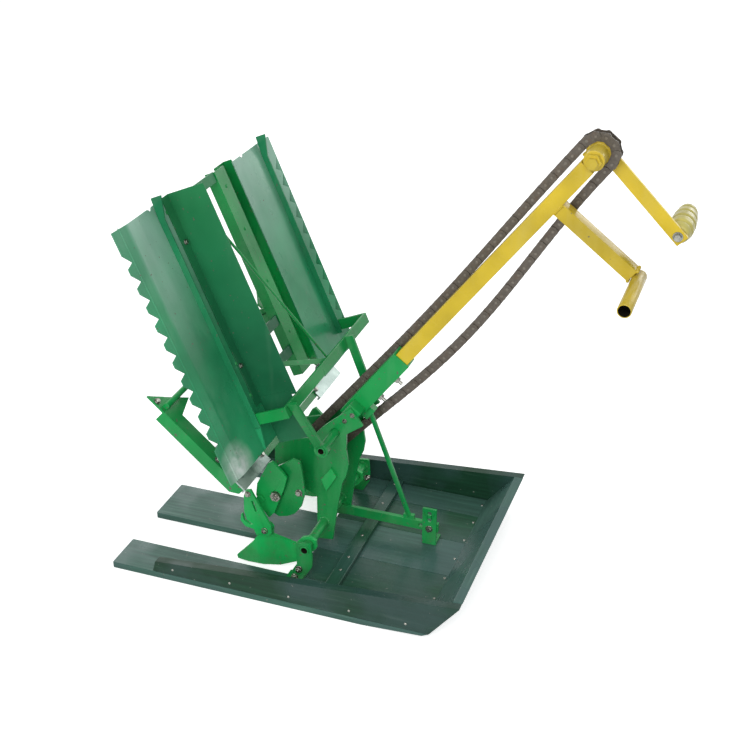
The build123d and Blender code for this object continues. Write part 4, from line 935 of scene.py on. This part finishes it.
class TRANSPLANTER_OT_welds(bpy.types.Operator):
    """Lay weld beads where tubes and bars meet"""

    bl_idname = "transplanter.welds"
    bl_label = "Weld beads"

    def bead(self, points, radius, normal):
        """Bead along points: a tube of rippled radius, r (1 + 0.16 sin(2.2 u)), thinner at its ends."""
        points = np.asarray(points, float)
        length = np.linalg.norm(np.diff(points, axis=0), axis=1)
        marks = np.concatenate([[0], np.cumsum(length)])
        u = np.linspace(0, marks[-1], max(8, int(marks[-1] / 0.8)))
        path = np.stack([np.interp(u, marks, points[:, k]) for k in range(3)], -1)
        radii = radius * (1 + 0.16 * np.sin(u * 2.2)) * np.clip(np.minimum(u, marks[-1] - u) / 1.5 + 0.3, 0, 1)
        return swept_tube(path, radii, 8, normal)

    def circle(self, centre, radius, axis):
        """Points of a circle square to the axis."""
        first, second = side_axes(axis)
        t = np.linspace(0, 2 * math.pi, 40)
        return np.asarray(centre) + radius * (np.cos(t)[:, None] * first + np.sin(t)[:, None] * second)

    def execute(self, context):
        bead = context.scene.planter_hardware.weld_bead / MM
        green = Batch()
        # Round the cross tube: both faces of both post plates, then the two foot brackets
        tube_r = 8.5
        for y in (-44.5, -39.5, 39.5, 44.5, -134.0, 151.5):
            green.add(*self.bead(self.circle((TUBE[0], y, TUBE[1]), tube_r, Y_AXIS), bead * 0.8, Y_AXIS))
        green.build("welds_frame", finish("green_enamel"), "frame")
        yellow = Batch()
        # At the root of the T-arm on the beam, then across its end on the handle tube
        arm, half, root, end = 96.0, 11.0, 12.5, 163.0
        for y in (-half, half):
            yellow.add(*self.bead([beam_at(arm - half, root, y), beam_at(arm + half, root, y)], bead, Y_AXIS))
        for along in (arm - half, arm + half):
            yellow.add(*self.bead([beam_at(along, end, -half), beam_at(along, end, half)], bead, BEAM_UP))
        yellow.build("welds_handle", finish("yellow_enamel"), "frame")
        return {"FINISHED"}


class TRANSPLANTER_OT_nails(bpy.types.Operator):
    """Drive nail heads into the sled's boards"""

    bl_idname = "transplanter.nails"
    bl_label = "Sled nails"

    def execute(self, context):
        batch = Batch()
        # Along the batten, along the front edge of the floor, then low on both side boards
        places = [(74.5, y, 21.0) for y in (-180.0, -110.0, -70.0, 0.0, 70.0, 110.0, 180.0)]
        places += [(250.0, y, 12.0) for y in (-180.0, -120.0, -60.0, 0.0, 60.0, 120.0, 180.0)]
        for place in places:
            batch.add(*dome_rivet(place, Z_AXIS, 2.6))
        for side in (-1, 1):
            for x in (-200.0, -90.0, 20.0, 130.0, 230.0):
                batch.add(*dome_rivet((x, side * 215.0, 24.0), side * Y_AXIS, 2.4))
        batch.build("nails_sled", finish("zinc_plate"), "frame")
        return {"FINISHED"}


class TRANSPLANTER_OT_stage(bpy.types.Operator):
    """Set the floor, the soft light and the camera"""

    bl_idname = "transplanter.stage"
    bl_label = "Studio"

    def seen(self, tree):
        """1 for what the camera sees straight on, in a mirror or through glass, and 0 for light on the object."""
        path = tree.nodes.new("ShaderNodeLightPath")
        total = path.outputs["Is Camera Ray"]
        for key in ("Is Glossy Ray", "Is Transmission Ray"):
            plus = tree.nodes.new("ShaderNodeMath")
            plus.operation = "ADD"
            plus.use_clamp = True
            tree.links.new(total, plus.inputs[0])
            tree.links.new(path.outputs[key], plus.inputs[1])
            total = plus.outputs[0]
        return total

    def floor(self):
        """Wide pale plane under the sled."""
        mesh = bpy.data.meshes.new("floor")
        reach = 30.0
        corners = [(-reach, -reach, 0.0), (reach, -reach, 0.0), (reach, reach, 0.0), (-reach, reach, 0.0)]
        mesh.from_pydata(corners, [], [(0, 1, 2, 3)])
        obj = bpy.data.objects.new("floor", mesh)
        obj.location = (0.0, 0.0, -0.6 * MM)
        bpy.context.scene.collection.objects.link(obj)
        sh = Shader("studio_floor")
        pale = sh.mix(sh.span(sh.noise(3.0, 2.0), 0.3, 0.7), (0.93, 0.93, 0.93), (0.96, 0.96, 0.96))
        rough = sh.span(sh.noise(5.0, 2.0), 0.3, 0.7, 0.85, 0.95)
        # White where it is seen; the light that it throws up is that of a plain grey floor
        seen = self.seen(sh.tree)
        tone = sh.mix(seen, (0.22, 0.23, 0.23), pale)
        glow = sh.span(seen, 0.0, 1.0, 0.0, 0.54)
        sh.link(glow, sh.out.inputs["Emission Strength"])
        sh.out.inputs["Emission Color"].default_value = (1.0, 1.0, 1.0, 1.0)
        mesh.materials.append(sh.done(tone, rough, None, Metallic=0.0, Specular_IOR_Level=0.1))

    def world(self, fill):
        """Even light all round, and plain white where it is seen past the floor."""
        scene = bpy.context.scene
        scene.world = bpy.data.worlds.new("studio")
        scene.world.use_nodes = True
        tree = scene.world.node_tree
        tree.nodes.clear()
        out = tree.nodes.new("ShaderNodeOutputWorld")
        mix = tree.nodes.new("ShaderNodeMixShader")
        tree.links.new(self.seen(tree), mix.inputs["Fac"])
        for key, color, strength in ((1, (0.97, 0.985, 1.0, 1.0), fill), (2, (1.0, 1.0, 1.0, 1.0), 1.0)):
            light = tree.nodes.new("ShaderNodeBackground")
            light.inputs["Color"].default_value = color
            light.inputs["Strength"].default_value = strength
            tree.links.new(light.outputs[0], mix.inputs[key])
        tree.links.new(mix.outputs[0], out.inputs["Surface"])

    def lamp(self, name, place, aim, size, power):
        """Square soft lamp at a place, facing a point."""
        data = bpy.data.lights.new(name, "AREA")
        data.size = size
        data.energy = power
        obj = bpy.data.objects.new(name, data)
        obj.location = place
        obj.rotation_euler = (Vector(aim) - Vector(place)).to_track_quat("-Z", "Y").to_euler()
        bpy.context.scene.collection.objects.link(obj)

    def execute(self, context):
        scene = context.scene
        stage = scene.planter_stage
        self.floor()
        self.world(stage.fill)
        # Columns: lamp, place, point it faces, size, power
        lamps = (
            ("key_lamp", (0.4, -2.6, 1.7), (0.0, 0.0, 0.35), 2.4, 66.0),
            ("tray_lamp", (1.45, 2.4, 1.55), (-0.05, 0.0, 1.2), 1.6, 19.0),
            ("tail_lamp", (-1.75, 2.3, 1.95), (-0.2, 0.0, 0.0), 1.3, 18.0),
        )
        for row in lamps[: stage.lamp_count]:
            self.lamp(*row)
        data = bpy.data.cameras.new("photo_camera")
        data.lens = stage.lens
        data.sensor_width = 36.0
        data.clip_start = 0.05
        data.clip_end = 100.0
        camera = bpy.data.objects.new("photo_camera", data)
        camera.location = CAMERA_PLACE
        az, el = stage.azimuth, stage.elevation
        ahead = Vector((-math.sin(az) * math.cos(el), math.cos(az) * math.cos(el), -math.sin(el)))
        camera.rotation_mode = "QUATERNION"
        camera.rotation_quaternion = ahead.to_track_quat("-Z", "Y")
        scene.collection.objects.link(camera)
        scene.camera = camera
        scene.view_settings.view_transform = "Standard"
        return {"FINISHED"}


STEPS = (
    TRANSPLANTER_OT_finish_solids,
    TRANSPLANTER_OT_trays,
    TRANSPLANTER_OT_chain,
    TRANSPLANTER_OT_sprockets,
    TRANSPLANTER_OT_grip,
    TRANSPLANTER_OT_bolts,
    TRANSPLANTER_OT_welds,
    TRANSPLANTER_OT_nails,
    TRANSPLANTER_OT_stage,
)

GROUPS = (
    ("planter_finish", FinishSettings),
    ("planter_hardware", HardwareSettings),
    ("planter_chain", ChainSettings),
    ("planter_stage", StageSettings),
)


class TRANSPLANTER_PT_panel(bpy.types.Panel):
    """Lists the settings and steps of the transplanter"""

    bl_label = "Rice transplanter"
    bl_idname = "TRANSPLANTER_PT_panel"
    bl_space_type = "VIEW_3D"
    bl_region_type = "UI"
    bl_category = "Transplanter"

    def draw(self, context):
        layout = self.layout
        for name, group in GROUPS:
            box = layout.box()
            for key in group.__annotations__:
                box.prop(getattr(context.scene, name), key)
        for step in STEPS:
            layout.operator(step.bl_idname)


def register():
    for name, group in GROUPS:
        bpy.utils.register_class(group)
        setattr(bpy.types.Scene, name, PointerProperty(type=group))
    for step in STEPS:
        bpy.utils.register_class(step)
    bpy.utils.register_class(TRANSPLANTER_PT_panel)


def unregister():
    bpy.utils.unregister_class(TRANSPLANTER_PT_panel)
    for step in reversed(STEPS):
        bpy.utils.unregister_class(step)
    for name, group in reversed(GROUPS):
        delattr(bpy.types.Scene, name)
        bpy.utils.unregister_class(group)


def main():
    """Runs every step in order."""
    register()
    for step in STEPS:
        area, call = step.bl_idname.split(".")
        getattr(getattr(bpy.ops, area), call)()
    bpy.context.view_layer.update()


if __name__ == "__main__":
    main()
